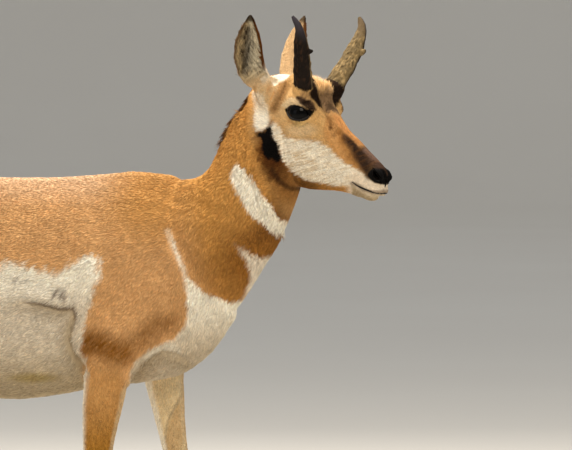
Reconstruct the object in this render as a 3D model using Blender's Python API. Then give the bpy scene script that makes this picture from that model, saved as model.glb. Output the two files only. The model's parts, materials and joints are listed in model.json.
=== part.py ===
"""Life-size still model of a young pronghorn buck, standing with its head turned to its right.

The trunk, neck, head and legs are lofted from tables of cross-sections, fused into one skin,
and parted with thin plane cuts into a node for each part of the body. Metres, +Z up, +X forward,
+Y to the animal's left. The floor is at Z = 0.
"""
import math
import random

import bmesh
import bpy
import numpy as np
from mathutils import Matrix, Vector
from mathutils.bvhtree import BVHTree

# Driving dimensions
GAP = 0.0003                       # between nodes that touch
CENTRE = (0.094, 0.0065)           # moves the body so that its box is centred over the origin
BODY_VOXEL = 0.0045
HEAD_VOXEL = 0.0023
RING_SIDES = 28

# Trunk: x, top, widest height, bottom, half width. The withers stand 0.845 m high.
TRUNK = (
    (-0.678, 0.728, 0.690, 0.655, 0.020),
    (-0.662, 0.768, 0.700, 0.620, 0.062),
    (-0.620, 0.808, 0.705, 0.570, 0.100),
    (-0.545, 0.838, 0.700, 0.530, 0.120),
    (-0.450, 0.850, 0.690, 0.500, 0.125),
    (-0.350, 0.846, 0.670, 0.469, 0.126),
    (-0.250, 0.838, 0.650, 0.449, 0.131),
    (-0.150, 0.835, 0.640, 0.440, 0.134),
    (-0.070, 0.836, 0.640, 0.450, 0.129),
    (0.000, 0.841, 0.640, 0.464, 0.121),
    (0.080, 0.845, 0.640, 0.473, 0.112),
    (0.140, 0.826, 0.640, 0.486, 0.099),
    (0.190, 0.775, 0.635, 0.519, 0.080),
    (0.226, 0.705, 0.630, 0.565, 0.056),
    (0.243, 0.655, 0.625, 0.592, 0.022),
)

# Neck: nape x and z, throat x and z, half width, y of the middle
NECK = (
    (0.060, 0.810, 0.190, 0.560, 0.078, 0.000),
    (0.128, 0.820, 0.231, 0.592, 0.084, 0.000),
    (0.176, 0.834, 0.257, 0.622, 0.080, 0.000),
    (0.203, 0.866, 0.291, 0.675, 0.071, 0.000),
    (0.228, 0.914, 0.323, 0.728, 0.063, -0.001),
    (0.247, 0.946, 0.341, 0.772, 0.059, -0.004),
    (0.270, 0.974, 0.356, 0.812, 0.056, -0.009),
    (0.312, 0.980, 0.372, 0.862, 0.048, -0.018),
)

# Legs: x, z, half length fore and aft, half width, y. The right legs stand under the body, the
# left foreleg and left hind leg a little further forward.
FORE_RIGHT = (
    (0.073, 0.750, 0.0400, 0.0200, -0.060),
    (0.076, 0.690, 0.0660, 0.0340, -0.071),
    (0.080, 0.620, 0.0800, 0.0410, -0.078),
    (0.058, 0.560, 0.0710, 0.0410, -0.083),
    (0.036, 0.513, 0.0480, 0.0360, -0.086),
    (0.027, 0.478, 0.0400, 0.0320, -0.086),
    (0.022, 0.446, 0.0372, 0.0290, -0.086),
    (0.016, 0.400, 0.0315, 0.0250, -0.086),
    (0.012, 0.359, 0.0268, 0.0215, -0.086),
    (0.010, 0.318, 0.0232, 0.0195, -0.086),
    (0.011, 0.278, 0.0240, 0.0205, -0.086),
    (0.010, 0.242, 0.0180, 0.0165, -0.086),
    (0.010, 0.200, 0.0150, 0.0138, -0.086),
    (0.011, 0.130, 0.0146, 0.0136, -0.086),
    (0.012, 0.090, 0.0190, 0.0170, -0.086),
    (0.023, 0.056, 0.0152, 0.0150, -0.086),
    (0.034, 0.030, 0.0190, 0.0180, -0.086),
)
FORE_LEFT = (
    (0.081, 0.750, 0.0400, 0.0200, 0.060),
    (0.088, 0.690, 0.0660, 0.0340, 0.071),
    (0.098, 0.620, 0.0800, 0.0410, 0.078),
    (0.092, 0.560, 0.0680, 0.0410, 0.083),
    (0.092, 0.513, 0.0460, 0.0360, 0.086),
    (0.094, 0.478, 0.0370, 0.0320, 0.086),
    (0.099, 0.446, 0.0330, 0.0290, 0.086),
    (0.106, 0.400, 0.0275, 0.0250, 0.086),
    (0.113, 0.359, 0.0240, 0.0215, 0.086),
    (0.121, 0.318, 0.0222, 0.0195, 0.086),
    (0.129, 0.278, 0.0240, 0.0205, 0.086),
    (0.133, 0.242, 0.0180, 0.0165, 0.086),
    (0.136, 0.200, 0.0150, 0.0138, 0.086),
    (0.141, 0.130, 0.0146, 0.0136, 0.086),
    (0.145, 0.090, 0.0190, 0.0170, 0.086),
    (0.158, 0.056, 0.0152, 0.0150, 0.086),
    (0.170, 0.030, 0.0190, 0.0180, 0.086),
)
HIND_RIGHT = (
    (-0.555, 0.790, 0.050, 0.024, -0.060),
    (-0.548, 0.735, 0.096, 0.044, -0.072),
    (-0.536, 0.660, 0.118, 0.052, -0.080),
    (-0.520, 0.590, 0.108, 0.050, -0.085),
    (-0.516, 0.535, 0.090, 0.045, -0.088),
    (-0.538, 0.480, 0.064, 0.037, -0.089),
    (-0.573, 0.430, 0.044, 0.028, -0.088),
    (-0.606, 0.385, 0.0335, 0.0215, -0.087),
    (-0.620, 0.348, 0.0300, 0.0205, -0.086),
    (-0.615, 0.305, 0.0225, 0.0180, -0.086),
    (-0.607, 0.250, 0.0170, 0.0150, -0.086),
    (-0.598, 0.180, 0.0158, 0.0140, -0.086),
    (-0.590, 0.125, 0.0158, 0.0140, -0.086),
    (-0.585, 0.090, 0.0200, 0.0172, -0.086),
    (-0.572, 0.056, 0.0160, 0.0152, -0.086),
    (-0.560, 0.030, 0.0195, 0.0180, -0.086),
)
HIND_LEFT_STEP = (0.0, 0.0, 0.004, 0.012, 0.020, 0.028, 0.036, 0.044, 0.050, 0.055, 0.060, 0.066, 0.070,
                  0.072, 0.072, 0.072)   # how far forward of the right hind leg each section stands

# Head, in its own frame with the origin midway between the eyes, x along the face to the lips:
# x, top, widest height, bottom, half width
HEAD = (
    (-0.118, 0.000, -0.025, -0.070, 0.030),
    (-0.100, 0.024, -0.012, -0.090, 0.043),
    (-0.065, 0.040, 0.000, -0.116, 0.050),
    (-0.030, 0.044, 0.002, -0.127, 0.053),
    (0.000, 0.037, -0.002, -0.131, 0.052),
    (0.025, 0.026, -0.008, -0.129, 0.047),
    (0.050, 0.015, -0.016, -0.123, 0.040),
    (0.075, 0.006, -0.023, -0.112, 0.033),
    (0.100, 0.001, -0.030, -0.100, 0.028),
    (0.125, -0.006, -0.036, -0.091, 0.025),
    (0.150, -0.012, -0.042, -0.086, 0.0235),
    (0.168, -0.018, -0.045, -0.078, 0.022),
    (0.181, -0.027, -0.048, -0.068, 0.016),
    (0.187, -0.040, -0.050, -0.060, 0.007),
)
HEAD_AT = (0.386, -0.034, 0.9485)   # midway between the eyes
HEAD_YAW = math.radians(-23)        # turned to the animal's right
HEAD_PITCH = math.radians(27)       # face slopes down from level

EYE = (-0.003, 0.0365, 0.000)       # middle of the left eyeball, in the head's frame
EYE_AIM = (0.16, 0.97, 0.10)
EYE_RADIUS = 0.0235
EYE_OPENING = (0.0208, 0.0126)      # half length and half height between the lids
EYE_TILT = math.radians(20)         # front corner raised from the line of the face
LID = 0.0028
HORN_ROOT = (-0.013, 0.049, 0.046)
HORN_MIDDLE = (-0.024, 0.086, 0.112)
HORN_UPPER = (-0.035, 0.101, 0.145)
HORN_TIP = (-0.054, 0.108, 0.161)
HORN_SIZES = (0.0195, 0.0188, 0.0175, 0.0160, 0.0146, 0.0116, 0.0092, 0.0074, 0.0058, 0.0032)
HORN_FLAT = 0.72                    # a horn is narrower across than from front to back
HORN_STUB = (0.0208, 0.0156)        # the skin round the foot of a horn: half length and half width
EAR_STUB = (0.0190, 0.0190)
EAR_ROOT = (-0.084, 0.045, 0.004)
EAR_MIDDLE = (-0.127, 0.075, 0.057)
EAR_TIP = (-0.144, 0.087, 0.1175)
EAR_OPENS = (0.22, 0.95, 0.10)
EAR_WALL = 0.0023
# Ear sections: share of the length, half width, depth of the cup's back, hollow of the cup, and
# how far each rim rolls round from the back, in degrees
EAR = ((0.00, 0.0180, 0.0180, -0.0180, 90), (0.07, 0.0188, 0.0184, -0.0135, 92),
       (0.14, 0.0208, 0.0190, 0.0005, 100), (0.22, 0.0232, 0.0195, 0.0125, 116),
       (0.33, 0.0256, 0.0195, 0.0153, 118), (0.46, 0.0266, 0.0183, 0.0147, 108),
       (0.60, 0.0246, 0.0158, 0.0126, 98), (0.74, 0.0196, 0.0125, 0.0096, 92),
       (0.86, 0.0132, 0.0087, 0.0062, 90), (0.95, 0.0070, 0.0048, 0.0026, 90),
       (1.00, 0.0024, 0.0022, 0.0004, 90))
MOUTH = ((0.134, 0.0215, -0.0665), (0.150, 0.0225, -0.0675), (0.168, 0.0220, -0.0655),
         (0.183, 0.0130, -0.0600), (0.195, 0.000, -0.0550))

# Where the skin is parted: a point of each plane and the way it faces
NECK_SEAM = ((0.200, 0.0, 0.703), (0.966, 0.0, 0.260))
HEAD_SEAM = ((0.296, -0.008, 0.870), (0.939, -0.120, 0.322))
TAIL_SEAM = ((-0.683, 0.0, 0.772), (-1.0, 0.0, 0.0))
FORE_SEAM = 0.464
KNEE_SEAM = 0.300
HIND_SEAM = 0.494
HOCK_SEAM = 0.330
HOOF_TOP = 0.034
MARGIN = 0.008

COLOURS = {
    "tan_coat": ((0.58, 0.36, 0.19), 0.85),
    "dark_coat": ((0.10, 0.07, 0.05), 0.85),
    "horn": ((0.07, 0.055, 0.045), 0.55),
    "eye": ((0.02, 0.014, 0.010), 0.08),
    "hoof": ((0.06, 0.05, 0.045), 0.45),
}


def material(name):
    """The material of that name, made once."""
    made = bpy.data.materials.get(name)
    if made is None:
        colour, roughness = COLOURS[name]
        made = bpy.data.materials.new(name)
        made.use_nodes = True
        shader = made.node_tree.nodes["Principled BSDF"]
        shader.inputs["Base Color"].default_value = (*colour, 1.0)
        shader.inputs["Roughness"].default_value = roughness
        shader.inputs["Metallic"].default_value = 0.0
    return made


def add_object(name, bm):
    """A new object that holds the bmesh, with its faces pointing out."""
    bmesh.ops.recalc_face_normals(bm, faces=bm.faces)
    mesh = bpy.data.meshes.new(name)
    bm.to_mesh(mesh)
    bm.free()
    obj = bpy.data.objects.new(name, mesh)
    bpy.context.scene.collection.objects.link(obj)
    return obj


def apply_modifiers(obj):
    """Bakes an object's modifiers into its mesh."""
    graph = bpy.context.evaluated_depsgraph_get()
    done = bpy.data.meshes.new_from_object(obj.evaluated_get(graph))
    obj.modifiers.clear()
    obj.data = done
    return obj


def through(table, per_gap=4):
    """Rows of a smooth curve that passes through the table's rows, per_gap for each gap."""
    rows = np.array(table, float)
    steps = np.linalg.norm(np.diff(rows[:, :2], axis=0), axis=1)
    at = np.concatenate([[0.0], np.cumsum(steps)])
    slope = np.gradient(rows, at, axis=0)
    fine = [np.linspace(a, b, per_gap, endpoint=False) for a, b in zip(at, at[1:])]
    fine = np.concatenate(fine + [at[-1:]])
    gap = np.clip(np.searchsorted(at, fine, side="right") - 1, 0, len(at) - 2)
    width = (at[gap + 1] - at[gap])[:, None]
    t = (fine - at[gap])[:, None] / width
    return ((2 * t**3 - 3 * t**2 + 1) * rows[gap] + (t**3 - 2 * t**2 + t) * width * slope[gap]
            + (3 * t**2 - 2 * t**3) * rows[gap + 1] + (t**3 - t**2) * width * slope[gap + 1])


def egg_ring(centre, side, up, half_width, above, below, sides=RING_SIDES):
    """Points of an egg-shaped section: half_width along side, above and below along up."""
    turn = np.linspace(0.0, 2 * math.pi, sides, endpoint=False)
    across = np.cos(turn) * half_width
    along = np.sin(turn)
    along = np.where(along > 0, along * above, along * below)
    return np.array(centre) + np.outer(across, side) + np.outer(along, up)


def loft(name, rings):
    """A closed tube through the rings, which all have the same number of points."""
    bm = bmesh.new()
    loops = [[bm.verts.new(point) for point in ring] for ring in rings]
    for first, second in zip(loops, loops[1:]):
        for k in range(len(first)):
            after = (k + 1) % len(first)
            bm.faces.new((first[k], first[after], second[after], second[k]))
    bm.faces.new(loops[0][::-1])
    bm.faces.new(loops[-1])
    return add_object(name, bm)


def ball(name, centre, radii, tilt=None, subdivisions=3):
    """An ellipsoid, turned by the rotation matrix tilt."""
    bm = bmesh.new()
    bmesh.ops.create_icosphere(bm, subdivisions=subdivisions, radius=1.0)
    place = Matrix.Translation(centre) @ (tilt.to_4x4() if tilt else Matrix())
    bm.transform(place @ Matrix.Diagonal((*radii, 1.0)))
    return add_object(name, bm)


def fused(name, pieces, voxel):
    """One closed skin round all the overlapping pieces, which it uses up."""
    bm = bmesh.new()
    for piece in pieces:
        bm.from_mesh(piece.data)
        bpy.data.objects.remove(piece)
    obj = add_object(name, bm)
    remesh = obj.modifiers.new("fuse", "REMESH")
    remesh.mode = "VOXEL"
    remesh.voxel_size = voxel
    return apply_modifiers(obj)


def relax(obj, passes, weight):
    """Smooths a mesh without shrinking it. weight(points) is how much each point may move, 0 to 1."""
    mesh = obj.data
    points = np.empty(len(mesh.vertices) * 3, np.float32)
    mesh.vertices.foreach_get("co", points)
    points = points.reshape(-1, 3).astype(float)
    ends = np.empty(len(mesh.edges) * 2, np.int32)
    mesh.edges.foreach_get("vertices", ends)
    ends = ends.reshape(-1, 2)
    count = np.bincount(ends.ravel(), minlength=len(points))[:, None]
    share = weight(points)[:, None]
    for step in range(2 * passes):
        total = np.zeros_like(points)
        np.add.at(total, ends[:, 0], points[ends[:, 1]])
        np.add.at(total, ends[:, 1], points[ends[:, 0]])
        pull = 0.55 if step % 2 == 0 else -0.56
        points += share * pull * (total / count - points)
    mesh.vertices.foreach_set("co", points.astype(np.float32).ravel())
    mesh.update()
    return obj


def copy_of(obj, name):
    """A second object with its own copy of the mesh."""
    made = bpy.data.objects.new(name, obj.data.copy())
    bpy.context.scene.collection.objects.link(made)
    return made


def thin_out(obj, triangles):
    """Collapses the mesh to about that many triangles."""
    collapse = obj.modifiers.new("thin", "DECIMATE")
    collapse.use_collapse_triangulate = True
    collapse.ratio = min(1.0, triangles / (2 * len(obj.data.polygons)))
    return apply_modifiers(obj)


def keep_side(obj, point, normal):
    """Cuts the mesh with a plane, keeps the side that normal points away from, and closes the cut."""
    bm = bmesh.new()
    bm.from_mesh(obj.data)
    everything = bm.verts[:] + bm.edges[:] + bm.faces[:]
    bmesh.ops.bisect_plane(bm, geom=everything, dist=1e-6, plane_co=point, plane_no=normal, clear_outer=True)
    rim = [edge for edge in bm.edges if edge.is_boundary]
    caps = bmesh.ops.holes_fill(bm, edges=rim, sides=0)["faces"]
    bmesh.ops.triangulate(bm, faces=caps)
    bm.to_mesh(obj.data)
    bm.free()
    return obj


def largest_body(obj):
    """Keeps only the largest closed surface of a mesh."""
    bm = bmesh.new()
    bm.from_mesh(obj.data)
    left, bodies = set(bm.verts), []
    while left:
        found, todo = set(), [left.pop()]
        while todo:
            vert = todo.pop()
            found.add(vert)
            near = [edge.other_vert(vert) for edge in vert.link_edges]
            todo += [other for other in near if other in left]
            left.difference_update(near)
        bodies.append(found)
    bodies.sort(key=len)
    scraps = [vert for body in bodies[:-1] for vert in body]
    bmesh.ops.delete(bm, geom=scraps, context="VERTS")
    bm.to_mesh(obj.data)
    bm.free()
    return obj


def combine(obj, tools, operation, solver="EXACT"):
    """Applies one Boolean with a collection of closed meshes, and removes them."""
    kit = bpy.data.collections.new("tools")
    for tool in tools:
        kit.objects.link(tool)
    boolean = obj.modifiers.new("combine", "BOOLEAN")
    boolean.operation = operation
    boolean.operand_type = "COLLECTION"
    boolean.collection = kit
    boolean.solver = solver
    apply_modifiers(obj)
    for tool in tools:
        bpy.data.objects.remove(tool)
    bpy.data.collections.remove(kit)
    return largest_body(obj)


def head_frame():
    """The matrix from the head's own frame to the body's."""
    turn = Matrix.Rotation(HEAD_YAW, 4, "Z") @ Matrix.Rotation(HEAD_PITCH, 4, "Y")
    return Matrix.Translation(HEAD_AT) @ turn


def on_side(point, side):
    """A point of the left side, or its mirror on the right where side is -1."""
    return Vector((point[0], point[1] * side, point[2]))


def trunk_pieces():
    """The barrel of the body, with the withers, brisket and root of the tail."""
    rings = [egg_ring((x, 0.0, wide), (0, 1, 0), (0, 0, 1), half, top - wide, wide - bottom)
             for x, top, wide, bottom, half in through(TRUNK)]
    brisket = ball("brisket", (0.092, 0.0, 0.545), (0.086, 0.060, 0.064))
    tail_root = ball("tail_root", (-0.655, 0.0, 0.772), (0.030, 0.020, 0.020))
    return [loft("barrel", rings), brisket, tail_root]


def neck_piece():
    """The neck, with sections that lean from nape to throat."""
    rings = []
    for nape_x, nape_z, throat_x, throat_z, half, y in through(NECK):
        up = Vector((nape_x - throat_x, 0.0, nape_z - throat_z))
        depth = up.length
        middle = Vector((throat_x, y, throat_z)) + 0.52 * up
        rings.append(egg_ring(middle, (0, 1, 0), up / depth, half, 0.48 * depth, 0.52 * depth))
    return loft("neck_tube", rings)


def leg_piece(name, table):
    """One leg as a tube of level sections."""
    rings = [egg_ring((x, y, z), (0, 1, 0), (1, 0, 0), half_width, half_length, half_length, 20)
             for x, z, half_length, half_width, y in through(table)]
    return loft(name, rings)


def leg_tables():
    """Each leg's name and its table of sections."""
    hind_left = [(x + step, z, a, b, -y) for (x, z, a, b, y), step in zip(HIND_RIGHT, HIND_LEFT_STEP)]
    return {"foreleg_right": FORE_RIGHT, "foreleg_left": FORE_LEFT,
            "hindleg_right": HIND_RIGHT, "hindleg_left": hind_left}


def head_pieces():
    """Skull, cheeks, brows, muzzle, lips and the stubs that horns and ears grow from."""
    rings = [egg_ring((x, 0.0, wide), (0, 1, 0), (0, 0, 1), half, top - wide, wide - bottom)
             for x, top, wide, bottom, half in through(HEAD)]
    pieces = [loft("skull", rings)]
    pieces.append(ball("crown", (-0.040, 0.0, 0.030), (0.034, 0.036, 0.022)))
    pieces.append(ball("nose_pad", (0.166, 0.0, -0.034), (0.019, 0.019, 0.016)))
    pieces.append(ball("upper_lip", (0.168, 0.0, -0.055), (0.0265, 0.0225, 0.0125)))
    pieces.append(ball("chin", (0.158, 0.0, -0.0705), (0.024, 0.0180, 0.0120)))
    for side in (1, -1):
        def place(x, y, z):
            return on_side((x, y, z), side)
        pieces.append(ball("brow", place(-0.006, 0.040, 0.014), (0.034, 0.021, 0.020)))
        pieces.append(ball("lids", place(*EYE), (EYE_RADIUS + LID,) * 3))
        pieces.append(ball("jaw_muscle", place(-0.004, 0.027, -0.060), (0.044, 0.020, 0.044)))
        pieces.append(ball("cheek_bone", place(0.040, 0.032, -0.026), (0.045, 0.013, 0.012),
                           Matrix.Rotation(-0.22 * side, 3, "Z")))
        pieces.append(ball("nostril_wing", place(0.168, 0.014, -0.034), (0.017, 0.009, 0.013)))
        for root, towards, (long, half) in ((HORN_ROOT, HORN_MIDDLE, HORN_STUB), (EAR_ROOT, EAR_MIDDLE, EAR_STUB)):
            start, along, back, across = seat_axes(root, towards, side)
            stub = [egg_ring(start + along * step, back, across, long * wide, half * wide, half * wide)
                    for step, wide in ((-0.034, 1.02), (-0.015, 1.06), (0.004, 1.0))]
            pieces.append(loft("stub", stub))
    frame = head_frame()
    for piece in pieces:
        piece.data.transform(frame)
    return pieces


def eye_axes(side):
    """The aim of an eye and the directions of its opening's length and height."""
    aim = on_side(EYE_AIM, side).normalized()
    length = Vector((math.cos(EYE_TILT), 0.0, math.sin(EYE_TILT)))
    length = (length - length.dot(aim) * aim).normalized()
    return aim, length, aim.cross(length) * side


def eyeball(name, side, radius):
    """An eyeball, or the socket that holds it."""
    obj = ball(name, on_side(EYE, side), (radius,) * 3, None, 3)
    obj.data.transform(head_frame())
    return obj


def eye_opening(side):
    """The almond between the lids, as a plug that widens outwards."""
    aim, length, height = eye_axes(side)
    middle = on_side(EYE, side)
    rings = []
    for depth, grow in ((0.004, 0.96), (0.022, 1.0), (0.045, 1.5)):
        ring = []
        for k in range(20):
            turn = 2 * math.pi * k / 20
            x = math.cos(turn) * EYE_OPENING[0]
            z = math.sin(turn) * abs(math.sin(turn)) ** 0.25 * EYE_OPENING[1]
            ring.append(middle + aim * depth + (length * x + height * z) * grow)
        rings.append(ring)
    plug = loft("eye_opening", rings)
    plug.data.transform(head_frame())
    return plug


def nostril(side):
    """The hollow of a nostril: a slanting comma."""
    middle = on_side((0.1755, 0.0185, -0.0330), side)
    tilt = Matrix.Rotation(-0.35 * side, 3, "Z") @ Matrix.Rotation(0.62, 3, "Y")
    hollow = ball("nostril", middle, (0.0118, 0.0068, 0.0050), tilt, 2)
    hollow.data.transform(head_frame())
    return hollow


def mouth_slit():
    """The line between the lips, from corner to corner round the muzzle."""
    half = through(MOUTH, 3)
    left = [Vector(row) for row in half]
    right = [Vector((row[0], -row[1], row[2])) for row in half[:-1]]
    path = left + right[::-1]
    rings = []
    for k, point in enumerate(path):
        outward = Vector((point.x - 0.140, point.y * 2.2, 0.0)).normalized()
        share = math.sin(math.pi * (0.06 + 0.88 * k / (len(path) - 1))) ** 0.5
        open_by = Vector((0.0, 0.0, 0.0011 * share))
        rings.append((point - outward * 0.0065, point + outward * 0.006 - open_by,
                      point + outward * 0.006 + open_by))
    slit = loft("mouth_slit", rings)
    slit.data.transform(head_frame())
    return slit


def seat_axes(root, towards, side):
    """Where a horn or ear meets the head, and the directions along it, backwards and across."""
    start, aim = on_side(root, side), on_side(towards, side)
    along = (aim - start).normalized()
    back = (Vector((-1, 0, 0)) + along.x * along).normalized()
    return start, along, back, along.cross(back)


def seat_cutter(root, towards, side, radius):
    """A short cylinder that cuts the flat seat of a horn or ear."""
    start, along, back, across = seat_axes(root, towards, side)
    rings = [egg_ring(start + along * step, back, across, radius, radius, radius, 24)
             for step in (0.0, 0.030)]
    cutter = loft("seat_cutter", rings)
    cutter.data.transform(head_frame())
    return cutter


def horn(name, side):
    """A horn: an oval core that leans out, with a small prong in front and a hooked tip."""
    start, along, back, across = seat_axes(HORN_ROOT, HORN_MIDDLE, side)
    stops = [HORN_ROOT, HORN_MIDDLE, HORN_UPPER, HORN_TIP]
    path = [Vector(on_side(tuple(row), side)) for row in through(stops, 3)]
    path[0] = start + along * GAP
    rings = []
    for k, (point, size) in enumerate(zip(path, HORN_SIZES)):
        tangent = (path[min(k + 1, len(path) - 1)] - path[max(k - 1, 0)]).normalized()
        if k == 0:
            tangent = along
        rear = (Vector((-1, 0, 0)) + tangent.x * tangent).normalized()
        half = size * HORN_FLAT
        rings.append(egg_ring(point, rear, tangent.cross(rear), size, half, half, 16))
    core = loft(name, rings)
    level = path[3]
    prong = loft("prong", [egg_ring(level + Vector(at), (0, 0, 1), (0, 1, 0), size, size * 0.6, size * 0.6, 8)
                           for at, size in (((-0.004, 0.0, -0.008), 0.0120), ((0.0115, 0.0, -0.001), 0.0088),
                                            ((0.0180, 0.0, 0.003), 0.0056), ((0.0215, 0.0, 0.008), 0.0020))])
    combine(core, [prong], "UNION")
    core.data.transform(head_frame())
    return core


def ear(name, side):
    """An ear: round at its root, then a leaf hollowed into a cup, with a pointed tip."""
    start, along, back, across = seat_axes(EAR_ROOT, EAR_MIDDLE, side)
    path = [Vector(on_side(tuple(row), side)) for row in through((EAR_ROOT, EAR_MIDDLE, EAR_TIP), 20)]
    rings = []
    for share, half, depth, hollow, roll in EAR:
        k = round(share * (len(path) - 1))
        tangent = (path[min(k + 1, len(path) - 1)] - path[max(k - 1, 0)]).normalized()
        point = path[k]
        if k == 0:
            tangent, point = along, start + along * GAP
        opens = on_side(EAR_OPENS, side)
        opens = (opens - opens.dot(tangent) * tangent).normalized()
        across = tangent.cross(opens)
        ring = []
        inner = half - min(EAR_WALL, 0.3 * half) if hollow > 0 else half
        for step in range(11):
            turn = math.radians(roll) * (1 - step / 5)
            ring.append(point + across * half * math.sin(turn) - opens * depth * math.cos(turn))
        for step in range(1, 10):
            turn = math.radians(roll) * (step / 5 - 1)
            ring.append(point + across * inner * math.sin(turn) - opens * hollow * math.cos(turn))
        rings.append(ring)
    leaf = loft(name, rings)
    leaf.data.transform(head_frame())
    return leaf


def hoof(name, x, y, side):
    """One toe of a cloven hoof, flat below and pointed in front."""
    levels = ((0.0, 0.042, 0.022, 0.0108, 0.0128), (0.010, 0.037, 0.0225, 0.0108, 0.0126),
              (0.022, 0.026, 0.0210, 0.0100, 0.0115), (HOOF_TOP - GAP, 0.0165, 0.0180, 0.0080, 0.0096))
    rings = []
    for z, front, rear, half, offset in levels:
        ring = []
        for k in range(14):
            turn = 2 * math.pi * k / 14
            reach = front if math.cos(turn) > 0 else rear
            taper = 1.0 - 0.45 * max(0.0, math.cos(turn)) ** 2
            ring.append((x + math.cos(turn) * reach, y + side * offset + math.sin(turn) * half * taper, z))
        rings.append(ring)
    return loft(name, rings)


def lock(root, flow, out, length, width, rise, sink=0.0035):
    """A flat tapered lock of hair with its root sunk in the skin."""
    across = flow.cross(out).normalized()
    rings = []
    for share, wide, lift in ((0.0, 0.75, -sink), (0.30, 1.0, 0.25 * rise), (0.65, 0.72, 0.75 * rise),
                              (0.90, 0.30, rise), (1.0, 0.10, rise)):
        middle = root + flow * length * share + out * lift
        thick = 0.0016 * (1.0 - 0.7 * share)
        rings.append((middle - across * width * wide / 2, middle + out * thick,
                      middle + across * width * wide / 2, middle - out * thick))
    return loft("lock", rings)


def mane_locks(neck):
    """Short locks along the nape, lying back and standing a little off it."""
    rng = random.Random(7)
    skin = BVHTree.FromPolygons([v.co for v in neck.data.vertices], [p.vertices for p in neck.data.polygons])
    tool = []
    for k in range(7):
        z = 0.962 - 0.0125 * k
        for y in (-0.010, 0.000, 0.010):
            origin = Vector((0.05, y - 0.006 + rng.uniform(-0.002, 0.002), z + rng.uniform(-0.003, 0.003)))
            hit, normal, _, _ = skin.ray_cast(origin, Vector((1, 0, 0)))
            flow = Vector((-0.45, 0.0, -0.89))
            flow = (flow - flow.dot(normal) * normal).normalized()
            tool.append(lock(hit, flow, normal, 0.034, 0.0128, 0.0048 - 0.0003 * k))
    return tool


def tail(name):
    """The short tail, with locks of hair that spread at its end."""
    spine = ((-0.6830, 0.772, 0.0125, 0.0170), (-0.6960, 0.760, 0.0120, 0.0200), (-0.7040, 0.738, 0.0105, 0.0215),
             (-0.7080, 0.712, 0.0085, 0.0190), (-0.7085, 0.690, 0.0060, 0.0120))
    rings = []
    for k, (x, z, thick, half) in enumerate(spine):
        first, last = spine[max(k - 1, 0)], spine[min(k + 1, len(spine) - 1)]
        down = Vector((last[0] - first[0], 0.0, last[1] - first[1])).normalized()
        if k == 0:
            down, x = Vector((-1, 0, 0)), x - GAP / 2
        out = Vector((down.z, 0.0, -down.x))
        rings.append(egg_ring((x, 0.0, z), (0, 1, 0), out, half, thick, thick, 16))
    dock = loft(name, rings)
    tool = []
    for y, z, length in ((-0.0135, 0.730, 0.044), (0.0125, 0.728, 0.043), (-0.0065, 0.722, 0.050),
                         (0.0070, 0.722, 0.052), (0.000, 0.716, 0.058)):
        flow = Vector((-0.06, y * 1.2, -1.0)).normalized()
        root = Vector((-0.7155, y, z))
        tool.append(lock(root, flow, Vector((-1, 0, 0)), length, 0.019, 0.0012, 0.0030))
    for y, z, length in ((-0.0110, 0.722, 0.044), (0.0105, 0.721, 0.043), (0.000, 0.716, 0.052)):
        flow = Vector((-0.02, y * 1.5, -1.0)).normalized()
        root = Vector((-0.7000, y, z))
        tool.append(lock(root, flow, Vector((1, 0, 0)), length, 0.019, 0.0006, 0.0030))
    return combine(dock, tool, "UNION")


def nearest_body(obj, point):
    """Keeps only the closed surface that comes nearest the point."""
    bm = bmesh.new()
    bm.from_mesh(obj.data)
    seed = min(bm.verts, key=lambda vert: (vert.co - Vector(point)).length)
    found, todo = {seed}, [seed]
    while todo:
        for edge in todo.pop().link_edges:
            for vert in edge.verts:
                if vert not in found:
                    found.add(vert)
                    todo.append(vert)
    bmesh.ops.delete(bm, geom=[vert for vert in bm.verts if vert not in found], context="VERTS")
    bm.to_mesh(obj.data)
    bm.free()
    return obj


def region(source, name, planes, triangles, near=None):
    """One node of the skin: cut out wide, thinned to a number of triangles, then cut exactly."""
    obj = copy_of(source, name)
    for point, normal in planes:
        keep_side(obj, Vector(point) + Vector(normal).normalized() * MARGIN, normal)
    if near is not None:
        nearest_body(obj, near)
    thin_out(obj, triangles)
    for point, normal in planes:
        keep_side(obj, Vector(point) - Vector(normal).normalized() * GAP / 2, normal)
    return largest_body(obj)


def flipped(plane):
    """The same plane, facing the other way."""
    point, normal = plane
    return point, tuple(-value for value in normal)


def leg_box(x, y, top, half):
    """A box that takes a leg off the trunk below a level top."""
    bm = bmesh.new()
    bmesh.ops.create_cube(bm, size=1.0)
    height = top + 0.1
    bm.transform(Matrix.Translation((x, y, top - height / 2)) @ Matrix.Diagonal((2 * half, 0.130, height, 1.0)))
    return add_object("leg_box", bm)


def finish(obj, slot, parent):
    """Gives a node its material, smooth shading and place under the parent."""
    obj.data.materials.clear()
    obj.data.materials.append(material(slot))
    for face in obj.data.polygons:
        face.material_index = 0
    obj.data.shade_smooth()
    obj.data.set_sharp_from_angle(angle=math.radians(50))
    obj.data.transform(Matrix.Translation((CENTRE[0], CENTRE[1], 0.0)))
    obj.parent = parent
    return obj


def make_head(source):
    """The head, with sockets, lids, nostrils, the mouth line and the seats of horns and ears."""
    head = region(source, "head", [flipped(HEAD_SEAM)], 3100)
    tools = [mouth_slit()]
    for side in (1, -1):
        tools.append(eyeball("socket", side, EYE_RADIUS + GAP))
        tools.append(eye_opening(side))
        tools.append(nostril(side))
        tools.append(seat_cutter(HORN_ROOT, HORN_MIDDLE, side, 0.030))
        tools.append(seat_cutter(EAR_ROOT, EAR_MIDDLE, side, 0.027))
    return combine(head, tools, "DIFFERENCE")


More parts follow.
